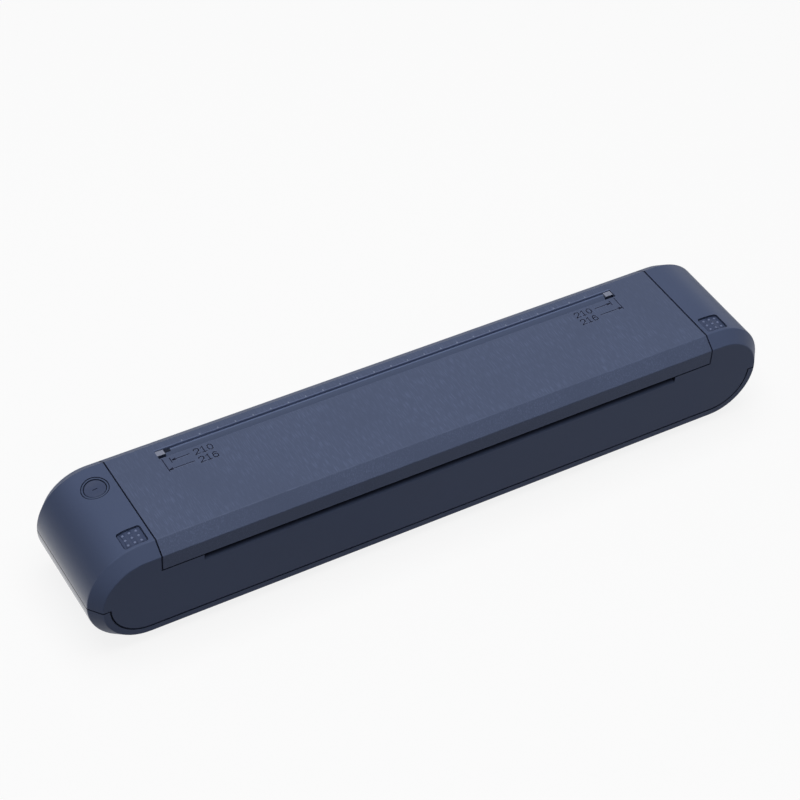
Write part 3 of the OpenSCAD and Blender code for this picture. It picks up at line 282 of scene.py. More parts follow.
def moulded(colour, grain=0.35 * MM, height=0.012 * MM, gloss=0.5, streaks=0.0):
    """Spark-textured plastic: fine grain, soft clouds in tone, rubbed edges, seams darkened with painted
    shade.

    The mesh says by attributes where it is rubbed, where seams and shaded places get painted shade, where
    painted light makes it lighter or pale, and where it is polished.
    """
    def recipe(net, place):
        fine = net.noise(place, grain, 3.0)
        cloud = net.noise(place, 38 * MM, 2.0, seed=4.0)
        brushed = net.noise(place, 0.42 * MM, 1.0, stretch=(1, 0.09, 1), seed=9.0)
        edge = net.attribute("rubbed")
        worn = edge * net.ramp(net.noise(place, 6 * MM, 4.0), [(0.45, 0.1), (0.7, 0.6)])
        hairs = net.ramp(brushed, [(0.5, 0.0), (0.72, 1.0)]) * net.ramp(cloud, [(0.35, 0.3), (0.6, 1.0)])
        tone = 0.5 + (cloud - 0.5) * 0.5 + (fine - 0.5) * 0.5
        base = net.mix(tone.at_least(0.0).at_most(1.0), scaled(colour, 0.88), scaled(colour, 1.12))
        combed = net.mix(hairs * streaks, base, scaled(colour, 1.6))
        # painted light: a lighter navy where a surface lies in shade
        combed = net.mix(net.attribute("lift").at_most(1.0), combed, scaled(colour, 2.4))
        rubbed = net.mix(worn, combed, scaled(colour, 1.4))
        # painted light: a pale tone on lit hinge ears and grip bumps
        pale = net.mix(net.attribute("pale").at_most(1.0), rubbed, PALE_PAINTED_LIGHT)
        # painted shade at seams and in shaded places darkens the colour
        dark = (net.attribute("seam") + net.attribute("dim")).at_least(0.0).at_most(1.0)
        return {
            "Base Color": net.mix(dark * 0.96, pale, PAINTED_SHADE_TONE),
            "Roughness": gloss + (cloud - 0.5) * 0.1 + (fine - 0.5) * 0.08 - worn * 0.1 + dark * 0.5,
            "Coat Weight": net.attribute("polish"),
            "Normal": net.bump(fine * 0.7 + brushed * streaks * 0.5, height),
        }
    return recipe


def rubber(colour):
    def recipe(net, place):
        fine = net.noise(place, 0.25 * MM, 4.0)
        dust = net.ramp(net.noise(place, 7 * MM, 5.0), [(0.5, 0.0), (0.8, 0.5)])
        return {
            "Base Color": net.mix(dust, colour, scaled(colour, 1.9)),
            "Roughness": 0.72 + (fine - 0.5) * 0.2 + dust * 0.1,
            "Normal": net.bump(fine, 0.01 * MM),
        }
    return recipe


def ground_rubber(colour):
    """Rubber ground round the roller: fine rings along X."""
    def recipe(net, place):
        rings = net.noise(place, 0.3 * MM, 3.0, stretch=(1, 0.03, 0.03))
        fine = net.noise(place, 0.15 * MM, 3.0)
        cloud = net.noise(place, 20 * MM, 3.0)
        return {
            "Base Color": net.mix(rings * 0.6 + cloud * 0.4, scaled(colour, 0.7), scaled(colour, 1.4)),
            "Roughness": 0.6 + (cloud - 0.5) * 0.2 + (fine - 0.5) * 0.15,
            "Normal": net.bump(rings * 0.6 + fine * 0.4, 0.012 * MM),
        }
    return recipe


def turned(colour, stretch=(1, 0.04, 0.04)):
    """Steel with fine tool lines round its axis."""
    def recipe(net, place):
        lines = net.noise(place, 0.12 * MM, 3.0, stretch=stretch)
        smear = net.noise(place, 5 * MM, 4.0)
        return {
            "Base Color": net.mix(lines * 0.5 + smear * 0.5, scaled(colour, 0.82), scaled(colour, 1.1)),
            "Roughness": 0.24 + smear * 0.14 + lines * 0.06,
            "Normal": net.bump(lines, 0.002 * MM),
        }
    return recipe


def plated(colour, grain=1.5 * MM):
    """Zinc-plated sheet: faint spangle and rolling lines."""
    def recipe(net, place):
        spangle = net.cells(place, grain)
        lines = net.noise(place, 0.2 * MM, 2.0, stretch=(0.03, 1, 1))
        smear = net.noise(place, 12 * MM, 4.0)
        return {
            "Base Color": net.mix(spangle * 0.5 + smear * 0.5, scaled(colour, 0.8), scaled(colour, 1.1)),
            "Roughness": 0.34 + (smear - 0.5) * 0.2 + lines * 0.08,
            "Normal": net.bump(lines * 0.6 + spangle * 0.4, 0.003 * MM),
        }
    return recipe


def glazed(colour):
    """Fired ceramic with a thin glaze."""
    def recipe(net, place):
        speckle = net.noise(place, 0.5 * MM, 4.0)
        cloud = net.noise(place, 14 * MM, 2.0)
        return {
            "Base Color": net.mix(speckle * 0.4 + cloud * 0.5, scaled(colour, 0.9), scaled(colour, 1.06)),
            "Roughness": 0.28 + (cloud - 0.5) * 0.12,
            "Normal": net.bump(speckle, 0.004 * MM),
        }
    return recipe


def solder_mask(colour):
    """Circuit board lacquer with copper tracks showing faintly under it."""
    def recipe(net, place):
        x, y, _ = net.axes(place)
        along = (x / (1.3 * MM)).math("FRACT", x / (1.3 * MM))
        across = (y / (1.1 * MM)).math("FRACT", y / (1.1 * MM))
        field = net.noise(place, 9 * MM, 0.0)
        tracks = along.above(0.62) * field.above(0.5) + across.above(0.6) * (1 - field.above(0.5))
        weave = net.noise(place, 0.4 * MM, 2.0)
        return {
            "Base Color": net.mix(tracks * 0.8 + weave * 0.1, colour, scaled(colour, 1.8)),
            "Roughness": 0.32 + weave * 0.1,
            "Normal": net.bump(tracks, 0.02 * MM),
        }
    return recipe


NAVY = shade(76, 87, 115)
NAVY_TOP = shade(80, 90, 116)
NAVY_DARK = shade(66, 76, 103)
WIRE_GRAIN = (0.2, 0.2, 0.2)

finishes = {
    "case": satin("navy case moulding", moulded(NAVY, gloss=0.44), Coat_Roughness=0.22),
    "cover": satin("navy cover moulding", moulded(NAVY_TOP, gloss=0.46, streaks=0.5)),
    "dark_plastic": satin("dark navy moulding", moulded(NAVY_DARK)),
    "black_plastic": finish("black moulding", moulded(shade(38, 38, 42), gloss=0.45)),
    "natural_plastic": finish("natural acetal", moulded(shade(222, 221, 212), gloss=0.36, height=0.004 * MM)),
    "switch_red": finish("red plunger moulding", moulded(shade(150, 44, 36), gloss=0.4)),
    "ring_light": satin("frosted light guide", moulded(shade(74, 85, 112), gloss=0.45)),
    "feet_rubber": finish("soft foot rubber", rubber(shade(40, 40, 44))),
    "roller_rubber": finish("ground roller rubber", ground_rubber(shade(52, 52, 56))),
    "machined_steel": metal("turned steel", turned(shade(196, 198, 202))),
    "sheet_steel": metal("zinc-plated sheet", plated(shade(190, 192, 194))),
    "screw_steel": metal("blackened screw steel", turned(shade(84, 84, 90), (1, 1, 0.1))),
    "spring_steel": metal("drawn spring wire", turned(shade(168, 168, 172), WIRE_GRAIN)),
    "motor_steel": metal("plated motor can", plated(shade(150, 152, 156), 0.8 * MM)),
    "brass": metal("cut brass", turned(shade(206, 172, 98))),
    "aluminium": metal("extruded aluminium", plated(shade(198, 200, 204), 0.5 * MM)),
    "ceramic": finish("glazed ceramic", glazed(shade(226, 218, 196))),
    "cell_wrap": finish("cell shrink wrap", glazed(shade(66, 116, 178)), Coat_Weight=0.3),
    "board_green": finish("green solder mask", solder_mask(shade(20, 84, 56))),
}
mark_dark = satin("mark in the groove of a stroke", moulded(shade(22, 27, 48), gloss=0.6))
mark_light = satin("lit edge of a stroke", moulded(shade(104, 114, 140)))
tick_light = satin("ruler tick", moulded(shade(128, 138, 162)))
# painted shade: the flap's spring and rod take the dark navy of the shaded hollow at the inlet's ends
wire_painted_shade = satin("blackened wire", turned(shade(44, 50, 68), WIRE_GRAIN))
# painted light: the flap's navy is lighter than the dark moulding, against the shade of the slot it lies in
flap_navy_painted_light = satin("navy flap moulding", moulded(shade(82, 93, 120), gloss=0.46))
button_navy = finish("navy button moulding", moulded(shade(62, 72, 99), gloss=0.4), Specular_IOR_Level=0.15)


# ---- carrying CAD nodes over ----

slot_of = {part["node"]: part["material_slot"] for part in frame["record"]["subparts"]}
body_of = {
    node: body
    for body, members in frame["record"]["behaviour"]["bodies"].items()
    for node in members
}

for node, thing in frame["nodes"].items():
    for place in thing.material_slots:
        place.material = wire_painted_shade if node == "flap_rod" else finishes[slot_of[node]]


def merged(node):
    """A copy of a CAD node's mesh with its triangles joined into whole faces."""
    shape = bmesh.new()
    shape.from_mesh(frame["nodes"][node].data)
    bmesh.ops.remove_doubles(shape, verts=shape.verts, dist=1e-6)
    bmesh.ops.dissolve_limit(shape, angle_limit=math.radians(0.5), verts=shape.verts, edges=shape.edges)
    return shape


def mesh_from(shape, name):
    """Turns an edited shape into a mesh of that name."""
    mesh = bpy.data.meshes.new(name)
    shape.to_mesh(mesh)
    shape.free()
    return mesh


def placed(name, data):
    """A new object in the scene."""
    thing = bpy.data.objects.new(name, data)
    bpy.context.scene.collection.objects.link(thing)
    return thing


def piece(name, mesh, body, slot, material, replaced=()):
    """Puts a finished mesh in the scene, riding on its body."""
    thing = placed(name, mesh)
    mesh.materials.clear()
    mesh.materials.append(material)
    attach(thing, body)
    if replaced:
        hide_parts(*replaced)
    return thing


def stand_in(name, mesh, node, material=None):
    """A piece in a CAD node's place, on its body, with its slot's finish unless another is given."""
    return piece(name, mesh, body_of[node], slot_of[node], material or finishes[slot_of[node]], [node])


def settled(maker):
    """Applies a maker object's modifiers and removes it."""
    bpy.context.view_layer.update()
    seen = maker.evaluated_get(bpy.context.evaluated_depsgraph_get())
    mesh = bpy.data.meshes.new_from_object(seen)
    mesh.name = maker.name
    bpy.data.objects.remove(maker)
    return mesh


def softened(node, radius_at, steps=3, sharp=20, adjust=None, clamp=False):
    """Stands in for a CAD node with its chosen sharp edges rounded off."""
    shape = merged(node)
    weight = shape.edges.layers.float.new("bevel_weight_edge")
    chosen = {}
    for edge in shape.edges:
        if len(edge.link_faces) == 2 and edge.calc_face_angle(0.0) > math.radians(sharp):
            chosen[edge] = radius_at(edge)
    chosen = {edge: radius for edge, radius in chosen.items() if radius}
    largest = max(chosen.values(), default=radius_at(next(iter(shape.edges))) or 0.1 * MM)
    for edge, radius in chosen.items():
        edge[weight] = radius / largest
    mesh = mesh_from(shape, node)
    mesh.materials.clear()
    mesh.materials.append(None)
    mesh.materials.append(None)
    mesh.polygons.foreach_set("material_index", np.zeros(len(mesh.polygons), np.int32))
    maker = placed(node + "_maker", mesh)
    bevel = maker.modifiers.new("bevel", "BEVEL")
    bevel.limit_method = "WEIGHT"
    bevel.width = largest
    bevel.segments = steps
    bevel.use_clamp_overlap = clamp
    bevel.loop_slide = True
    bevel.material = 1
    result = settled(maker)
    keep_in_box(result, node)
    mark_faces(result)
    if adjust:
        adjust(result)
    smooth_as_case(result, 32)
    return result


def keep_in_box(mesh, node):
    """No rounded edge stands proud of the CAD node's own box."""
    low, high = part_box(node)
    held = np.clip(points_of(mesh), np.array(low), np.array(high))
    mesh.vertices.foreach_set("co", held.ravel().astype(np.float32))


def points_of(mesh):
    flat = np.zeros(len(mesh.vertices) * 3, np.float32)
    mesh.vertices.foreach_get("co", flat)
    return flat.reshape(-1, 3).astype(np.float64)


def skin_depths(points):
    """Depth of each point under the wall, the sloping band and the end face of the case."""
    inset = END_R - np.hypot(np.maximum(np.abs(points[:, 0]) - END_X, 0), points[:, 2] - MID_Z)
    behind = FRONT - np.abs(points[:, 1])
    band = (behind - BAND_DEPTH) * BAND_INSET / BAND_SLOPE + inset * BAND_DEPTH / BAND_SLOPE
    return inset, band, behind


def on_skin(edge):
    depths = skin_depths(np.array([v.co for v in edge.verts]))
    return np.minimum.reduce(depths).max() < 0.03 * MM


def seam_distance(points):
    """Distance of each point from the middle of the nearest seam in the case's skin."""
    x, y, z = np.abs(points[:, 0]), points[:, 1], points[:, 2]
    inset = skin_depths(points)[0]
    front = y < -FRONT + MM
    high = z > MID_Z
    seams = (
        (z > COVER_LOW - MM, x - COVER_X - SEAM / 2),
        (front & (x < COVER_X + 0.5 * MM), z - COVER_LOW + SEAM / 2),
        ((inset < GROOVE_INSET) | (y > 0), z - MID_Z),
        (front & (z < MID_Z + 0.3 * MM), inset - GROOVE_INSET),
        ((y > FRONT - 2 * MM) & (x < COVER_X), z - HINGE_SEAM_Z),
        (high, np.hypot(points[:, 0] - POWER.x, y - POWER.y) - POWER_HOLE_R),
        (high, np.maximum(np.abs(x - PAD.x) - PAD_HALF.x, np.abs(y - PAD.y) - PAD_HALF.y)),
    )
    return np.minimum.reduce([np.where(there, np.abs(distance), 1.0) for there, distance in seams])


def corner_lists(mesh):
    starts = np.zeros(len(mesh.polygons), np.int32)
    mesh.polygons.foreach_get("loop_start", starts)
    corners = np.zeros(len(mesh.loops), np.int32)
    mesh.loops.foreach_get("vertex_index", corners)
    return starts, corners


def per_face(mesh, values, pick=np.minimum):
    """The least of a value over the points of each face, or what another pick gives."""
    starts, corners = corner_lists(mesh)
    return pick.reduceat(values[corners], starts)


def mark_faces(mesh):
    """Face attributes for the finish: rubbed on rounded edges, seam (painted shade) beside a seam of the
    skin.
    """
    index = np.zeros(len(mesh.polygons), np.int32)
    mesh.polygons.foreach_get("material_index", index)
    points = points_of(mesh)
    starts, corners = corner_lists(mesh)
    counts = np.diff(np.append(starts, len(corners)))
    middles = np.add.reduceat(points[corners], starts, axis=0) / counts[:, None]
    near = per_face(mesh, seam_distance(points), np.maximum) < SEAM_SHADE_WIDE
    near &= seam_distance(middles) < SEAM_SHADE_WIDE
    # faces beside a seam get painted shade, standing for the shade in its gap
    seam = near & (per_face(mesh, np.minimum.reduce(skin_depths(points)), np.maximum) < SEAM_SHADE_DEEP)
    set_faces(mesh, "rubbed", index * ~seam)
    set_faces(mesh, "seam", seam)
    mesh.polygons.foreach_set("material_index", np.zeros(len(index), np.int32))


def set_faces(mesh, name, values):
    made = mesh.attributes.get(name) or mesh.attributes.new(name, "FLOAT", "FACE")
    made.data.foreach_set("value", np.asarray(values, np.float32))


def read_faces(mesh, name):
    values = np.zeros(len(mesh.polygons), np.float32)
    mesh.attributes[name].data.foreach_get("value", values)
    return values


def smooth(mesh, degrees):
    """Smooth shading, sharp past an angle."""
    mesh.polygons.foreach_set("use_smooth", [True] * len(mesh.polygons))
    mesh.set_sharp_from_angle(angle=math.radians(degrees))


def smooth_as_case(mesh, degrees):
    """Smooth shading with the case form's own normals on its skin."""
    smooth(mesh, degrees)
    points = points_of(mesh)
    starts, corners = corner_lists(mesh)
    ends = np.append(starts[1:], len(corners))
    across = np.sign(points[:, 0]) * np.maximum(np.abs(points[:, 0]) - END_X, 0)
    up = points[:, 2] - MID_Z
    reach = np.maximum(np.hypot(across, up), 1e-9)
    zero = np.zeros(len(points))
    wall = np.stack([across / reach, zero, up / reach], 1)
    face = np.stack([zero, np.sign(points[:, 1]), zero], 1)
    band = wall * BAND_DEPTH / BAND_SLOPE + face * BAND_INSET / BAND_SLOPE
    normals = np.zeros(len(corners) * 3, np.float32)
    mesh.corner_normals.foreach_get("vector", normals)
    normals = normals.reshape(-1, 3).astype(np.float64)
    own = np.zeros(len(mesh.polygons) * 3, np.float32)
    mesh.polygons.foreach_get("normal", own)
    own = own.reshape(-1, 3)
    of_corner = np.repeat(np.arange(len(starts)), ends - starts)
    skin_of = {}
    is_skin = np.zeros(len(starts), bool)
    for depth, normal in zip(skin_depths(points), (wall, band, face)):
        flush = np.maximum.reduceat(np.abs(depth[corners]), starts) < 0.02 * MM
        turned_to = np.add.reduceat(normal[corners], starts, axis=0) / (ends - starts)[:, None]
        fits = flush & ((turned_to * own).sum(1) > 0.97) & ~is_skin
        is_skin |= fits
        chosen = fits[of_corner]
        normals[chosen] = normal[corners[chosen]]
        for place in corners[chosen]:
            skin_of.setdefault(int(place), []).append(tuple(normal[place]))
    rubbed = (read_faces(mesh, "rubbed") + read_faces(mesh, "seam") > 0) & ~is_skin
    for corner in np.flatnonzero(rubbed[of_corner]):
        found = skin_of.get(int(corners[corner]))
        if found and all(sum(a * b for a, b in zip(found[0], other)) > 0.9999 for other in found):
            normals[corner] = found[0]
    mesh.normals_split_custom_set(normals.tolist())


def case_edge(edge):
    """Rounding of the case's outer edges: narrow beside a seam, wide on the bands."""
    if not on_skin(edge):
        return 0.0
    middle = (edge.verts[0].co + edge.verts[1].co) / 2
    beside = seam_distance(np.array([middle]))[0] < 0.4 * MM
    return SEAM_EDGE if beside else OUTER_EDGE


def set_corners(mesh, name, values):
    made = mesh.attributes.get(name) or mesh.attributes.new(name, "FLOAT", "CORNER")
    made.data.foreach_set("value", np.asarray(values, np.float32))


def of_faces(mesh, chosen):
    """The choice of each face, for each of its corners."""
    counts = np.zeros(len(mesh.polygons), np.int32)
    mesh.polygons.foreach_get("loop_total", counts)
    return np.repeat(chosen, counts)


def all_corners(mesh, chosen):
    """Whether a face has all its points among the chosen ones."""
    return per_face(mesh, chosen.astype(int)) > 0


def polish_ends(mesh):
    """Sets the shine low on the rounded ends, and gives back the painted shade above it for each corner."""
    points = points_of(mesh)
    _, corners = corner_lists(mesh)
    across = np.abs(points[:, 0]) - END_X
    up = points[:, 2] - MID_Z
    tilt = (up / np.maximum(np.hypot(across, up), 1e-9))[corners]
    wall = (across > -0.1 * MM) & (np.abs(points[:, 1]) < FRONT - BAND_DEPTH + 0.5 * MM)
    wall = of_faces(mesh, all_corners(mesh, wall))
    shine_ends = np.where(points[corners, 0] > 0, 0.8, 0.62)
    set_corners(mesh, "polish", wall * np.clip((shine_ends - tilt) / 0.6, 0, 1))
    # painted shade: a dark band where the rounded ends turn away from the overhead light
    darkest, shaded_tilt = 0.27, 0.62
    return wall * darkest * np.clip(1.6 - np.abs(tilt - shaded_tilt) / 0.2, 0, 1)


def rear_shade(mesh):
    """Painted shade on the sloping band at the back, above half height."""
    points = points_of(mesh)
    rear = (points[:, 1] > FRONT - BAND_DEPTH - 0.4 * MM) & (points[:, 2] > MID_Z)
    sloping = all_corners(mesh, rear) & ~all_corners(mesh, points[:, 1] > FRONT - 0.45 * MM)
    return of_faces(mesh, sloping) * 0.18


def darken_case(mesh):
    """Painted shade: the lip of the paper exit fades to black under the cover; ends and rear band have their
    painted shade.
    """
    points = points_of(mesh)
    x, y, z = points.T
    _, corners = corner_lists(mesh)
    lip = (np.abs(x) < EXIT_X) & (z < COVER_LOW + 0.5 * MM) & (z > COVER_LOW - LIP_BELOW)
    lip &= (y < -FRONT + LIP_DEEP) & (y > -FRONT - MM)
    inside = of_faces(mesh, all_corners(mesh, lip))
    # painted shade under the cover's edge, darkest at the top of the lip
    fade = (z[corners] - (COVER_LOW - 3.175 * MM)) / (1.4 * MM)
    set_corners(mesh, "dim", inside * (0.3 + 0.75 * fade) + rear_shade(mesh) + polish_ends(mesh))


def finish_cover(mesh):
    """Lowers the cover's top by a hair under its marks, paints light on the slot's rear wall, and paints
    shade on the rear band.
    """
    points = points_of(mesh)
    points[points[:, 2] > TOP - 0.002 * MM, 2] -= 0.02 * MM
    mesh.vertices.foreach_set("co", points.ravel().astype(np.float32))
    slot_back = (np.abs(points[:, 1] - SLOT_BACK) < 0.35 * MM) & (np.abs(points[:, 0]) < SLOT_X)
    set_faces(mesh, "lift", all_corners(mesh, slot_back & (points[:, 2] > TOP - 4 * MM)) * 0.5)
    set_corners(mesh, "dim", rear_shade(mesh))


def lighten_barrel(mesh):
    """Painted light on the back of the flap's barrel, which the slot's rear wall shades."""
    points = points_of(mesh)
    behind = (points[:, 1] > SLOT_BACK - 1.3 * MM) & (points[:, 2] > TOP - 1.7 * MM)
    set_faces(mesh, "lift", all_corners(mesh, behind) * 0.3)


def pale_ears(mesh):
    """Painted light: the flap's hinge ears show as light squares at the ends of the inlet."""
    set_faces(mesh, "pale", (per_face(mesh, points_of(mesh)[:, 2]) > TOP - 1.9 * MM) * 0.8)


def pale_bumps(mesh):
    """Painted highlights on the grip bumps of a release button, above its dark floor."""
    proud = per_face(mesh, np.minimum.reduce(skin_depths(points_of(mesh)))) < 0.62 * MM
    set_faces(mesh, "lift", proud * 1.0)
    set_faces(mesh, "pale", proud * 0.3)


for node, adjust in (("upper_case", darken_case), ("lower_case", polish_ends), ("top_cover", finish_cover)):
    stand_in("soft_" + node, softened(node, case_edge, adjust=adjust), node)


def small_edges(radius):
    """Rounds every sharp edge of a small part alike."""
    return lambda edge: radius if edge.calc_length() > 0.12 * MM else 0.0


def long_edges(radius):
    """Rounds the long edges of a sheet or extrusion."""
    return lambda edge: radius if edge.calc_length() > 8 * MM else 0.0


for choose, clamp, radii in (
    (small_edges, True, {
        "rubber_feet": 0.25, "battery_tray": 0.15, "main_chip": 0.08, "board_connectors": 0.12,
        "head_connector": 0.1, "paper_sensor": 0.1, "tact_switch": 0.1, "platen_bushes": 0.1,
        "switch_plunger": 0.1, "head_board": 0.05,
    }),
    (long_edges, False, {"paper_deck": 0.2, "inlet_flap": 0.14, "heat_sink": 0.16, "chassis": 0.08}),
):
    for node, radius in radii.items():
        is_flap = node == "inlet_flap"
        mesh = softened(node, choose(radius * MM), 2, 35, lighten_barrel if is_flap else None, clamp)
        stand_in("soft_" + node, mesh, node, flap_navy_painted_light if is_flap else None)


def carried(node, adjust):
    """Stands in for a CAD node with its own faces marked for the finish."""
    mesh = mesh_from(merged(node), node)
    adjust(mesh)
    smooth(mesh, 30)
    stand_in("soft_" + node, mesh, node)


carried("cover_frame", pale_ears)
carried("release_button_left", pale_bumps)
carried("release_button_right", pale_bumps)


# ---- power button and its ring ----

def cap_height(x):
    return MID_Z + math.sqrt(END_R ** 2 - max(0.0, abs(x) - END_X) ** 2)


def round_piece(name, node, rings, material):
    """A piece turned on the power button's axis, from rings of radius, height, whether that height
    is from the skin of the case, and painted shade."""
    parts = 96
    shape = bmesh.new()
    painted_shades = {}
    loops = []
    for radius, height, from_skin, dim in rings:
        loop = []
        for i in range(parts if radius > 0 else 1):
            angle = math.tau * i / parts
            x = POWER.x + radius * math.cos(angle)
            y = POWER.y + radius * math.sin(angle)
            made = shape.verts.new((x, y, cap_height(x) + height if from_skin else height))
            painted_shades[made] = dim
            loop.append(made)
        loops.append(loop)
    closed = len(loops[0]) > 1
    for inner, outer in zip(loops, loops[1:] + loops[:1] if closed else loops[1:]):
        for i in range(parts):
            j = (i + 1) % parts
            around = [
                inner[i % len(inner)], outer[i % len(outer)],
                outer[j % len(outer)], inner[j % len(inner)],
            ]
            shape.faces.new(list(dict.fromkeys(around)))
    bmesh.ops.recalc_face_normals(shape, faces=shape.faces)
    shape.verts.index_update()
    levels = np.array([painted_shades[v] for v in shape.verts])
    mesh = mesh_from(shape, name)
    set_corners(mesh, "dim", levels[corner_lists(mesh)[1]])
    smooth(mesh, 50)
    stand_in(name, mesh, node, material)


button_low, button_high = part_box("power_button")
FLANGE_R = (button_high.x - button_low.x) / 2
dish = [
    (radius * MM, (-0.85 + 0.5 * (radius / 4.2) ** 2) * MM, True, 0.0)
    for radius in (0, 0.8, 1.6, 2.4, 3.2, 3.8, 4.2)
]
# the rim darkens with painted shade as it drops into the gap round the button
button_rim = [
    (4.36 * MM, -0.37 * MM, True, 0.1),
    (4.46 * MM, -0.5 * MM, True, 0.8),
    (4.5 * MM, -0.8 * MM, True, 1.0),
    (4.5 * MM, button_low.z + 0.8 * MM, False, 1.0),
    (FLANGE_R, button_low.z + 0.8 * MM, False, 0.0),
    (FLANGE_R, button_low.z, False, 0.0),
    (0, button_low.z, False, 0.0),
]
round_piece("dished_power_button", "power_button", dish + button_rim, button_navy)
# the ring's sides carry painted shade from the gaps beside them
light_ring = [
    (4.65 * MM, ring_low.z, False, 1.0),
    (4.65 * MM, -0.55 * MM, True, 1.0),
    (4.69 * MM, -0.25 * MM, True, 0.6),
    (4.8 * MM, -0.1 * MM, True, 0.0),
    (5.33 * MM, -0.1 * MM, True, 0.0),
    (5.45 * MM, -0.22 * MM, True, 0.6),
    (5.5 * MM, -0.55 * MM, True, 1.0),
    (5.5 * MM, ring_low.z, False, 1.0),
]
round_piece("rounded_light_ring", "light_ring", light_ring, finishes["ring_light"])


# ---- marks on the cover ----

GLYPHS = {
    "2": [[(0, 0.78), (0.12, 0.94), (0.5, 1), (0.88, 0.94), (1, 0.74), (0.9, 0.52), (0, 0), (1, 0)]],
    "1": [[(0.1, 0.8), (0.5, 1), (0.5, 0)], [(0.1, 0), (0.9, 0)]],
    "0": [[(0.5, 0), (0.1, 0.15), (0, 0.5), (0.1, 0.85), (0.5, 1), (0.9, 0.85), (1, 0.5), (0.9, 0.15),
           (0.5, 0)]],
    "6": [[(0.92, 0.86), (0.5, 1), (0.12, 0.82), (0, 0.4), (0.12, 0.08), (0.5, 0), (0.9, 0.1), (1, 0.34),
           (0.88, 0.56), (0.5, 0.64), (0.04, 0.48)]],
}
MARK_TOP = TOP - 0.006 * MM


def stroke(shape, points, width, top=MARK_TOP, deep=0.05 * MM):
    """A closed bar of ink along a path of points."""
    for start, end in zip(points, points[1:]):
        along = Vector((end[0] - start[0], end[1] - start[1], 0))
        if along.length < 1e-6:
            continue
        along.normalize()
        aside = Vector((-along.y, along.x, 0)) * width / 2
        low = Vector((start[0], start[1], 0)) - along * width / 2
        high = Vector((end[0], end[1], 0)) + along * width / 2
        corners = [low - aside, high - aside, high + aside, low + aside]
        upper = [shape.verts.new((c.x, c.y, top)) for c in corners]
        under = [shape.verts.new((c.x, c.y, top - deep)) for c in corners]
        shape.faces.new(upper)
        shape.faces.new(under[::-1])
        for i in range(4):
            j = (i + 1) % 4
            shape.faces.new((upper[i], under[i], under[j], upper[j]))


def number_paths(text, middle_x, middle_y):
    """The strokes of a number, in mm."""
    height, wide, pitch = 3.0, 2.1, 2.95
    left = middle_x - pitch * (len(text) - 1) / 2 - wide / 2
    for count, figure in enumerate(text):
        for path in GLYPHS[figure]:
            yield [(left + count * pitch + u * wide, middle_y + (v - 0.5) * height) for u, v in path]


# text and its y, how far its line stands inside the outer one, the line's ends, the arrow's y, gap and tip
WIDTH_MARKS = (
    ("210", 12.2, 3, (13.7, 11.1), 12.3, 0.7, 0.6),
    ("216", 7.4, 0, (14.3, 7.0), 7.8, 0.4, 0.5),
)
SHAFT_END, NUMBER_X, HEAD_LONG, HEAD_HALF = 11, 17.2, 1.3, 0.5


def mark_paths():
    """Every stroke of the two width marks, at the left end and the right end, in mm."""
    for side, reach in ((-1, 107.8), (1, 106.9)):
        for text, text_y, inside, ends, y, gap, tip in WIDTH_MARKS:
            line = reach - inside
            tail = side * (line - tip - HEAD_LONG)
            yield [(side * line, ends[0]), (side * line, ends[1])]
            yield [(side * (line - gap), y), (side * (reach - SHAFT_END), y)]
            yield [(tail, y + HEAD_HALF), (side * (line - tip), y), (tail, y - HEAD_HALF)]
            yield from number_paths(text, side * (reach - NUMBER_X), text_y)


def mark_piece(name, width, shift, top, material):
    shape = bmesh.new()
    for path in mark_paths():
        stroke(shape, [((x + shift[0]) * MM, (y + shift[1]) * MM) for x, y in path], width, top)
    piece(name, mesh_from(shape, name), "cover", "cover", material)


mark_piece("width_marks", 0.4 * MM, (0, 0), MARK_TOP, mark_dark)
mark_piece("width_marks_lit_edge", 0.24 * MM, (0.1, -0.3), MARK_TOP - 0.003 * MM, mark_light)


def button_mark():
    """The short stroke in the middle of the power button's dish."""
    shape = bmesh.new()
    height = cap_height(POWER.x) - 0.8 * MM
    tilt = (cap_height(POWER.x + MM) - cap_height(POWER.x - MM)) / 2
    ends = [(POWER.x - 0.95 * MM, POWER.y), (POWER.x + 0.85 * MM, POWER.y)]
    stroke(shape, ends, 0.36 * MM, height, 0.2 * MM)
    for point in shape.verts:
        point.co.z += (point.co.x - POWER.x) / MM * tilt
    mesh = mesh_from(shape, "button_mark")
    piece("button_mark", mesh, body_of["power_button"], "dark_plastic", mark_dark)


button_mark()


# ---- geometry trees ----

def grown(name, build, inputs, start, material):
    """A mesh that a geometry tree grows on a starting mesh from named inputs."""
    tree = bpy.data.node_groups.new(name, "GeometryNodeTree")
    sockets = tree.interface
    sockets.new_socket("Geometry", in_out="INPUT", socket_type="NodeSocketGeometry")
    named = {
        key: sockets.new_socket(key, in_out="INPUT", socket_type="NodeSocket" + kind).identifier
        for key, (kind, _) in inputs.items()
    }
    sockets.new_socket("Geometry", in_out="OUTPUT", socket_type="NodeSocketGeometry")
    net = Net(tree)
    entry = tree.nodes.new("NodeGroupInput")
    given = {key: Part(net, entry.outputs[key]) for key in inputs}
    made = build(net, Part(net, entry.outputs["Geometry"]), given)
    whole = net.add("GeometryNodeRealizeInstances", None, {"Geometry": made})
    painted = net.add("GeometryNodeSetMaterial", None, {"Geometry": whole, "Material": material})
    leave = tree.nodes.new("NodeGroupOutput")
    tree.links.new(painted.socket, leave.inputs[0])
    maker = placed(name, start)
    growth = maker.modifiers.new(name, "NODES")
    growth.node_group = tree
    for key, (_, value) in inputs.items():
        growth[named[key]] = value
    return settled(maker)


def points_mesh(name, places):
    mesh = bpy.data.meshes.new(name)
    mesh.from_pydata([tuple(place) for place in places], [], [])
    return mesh


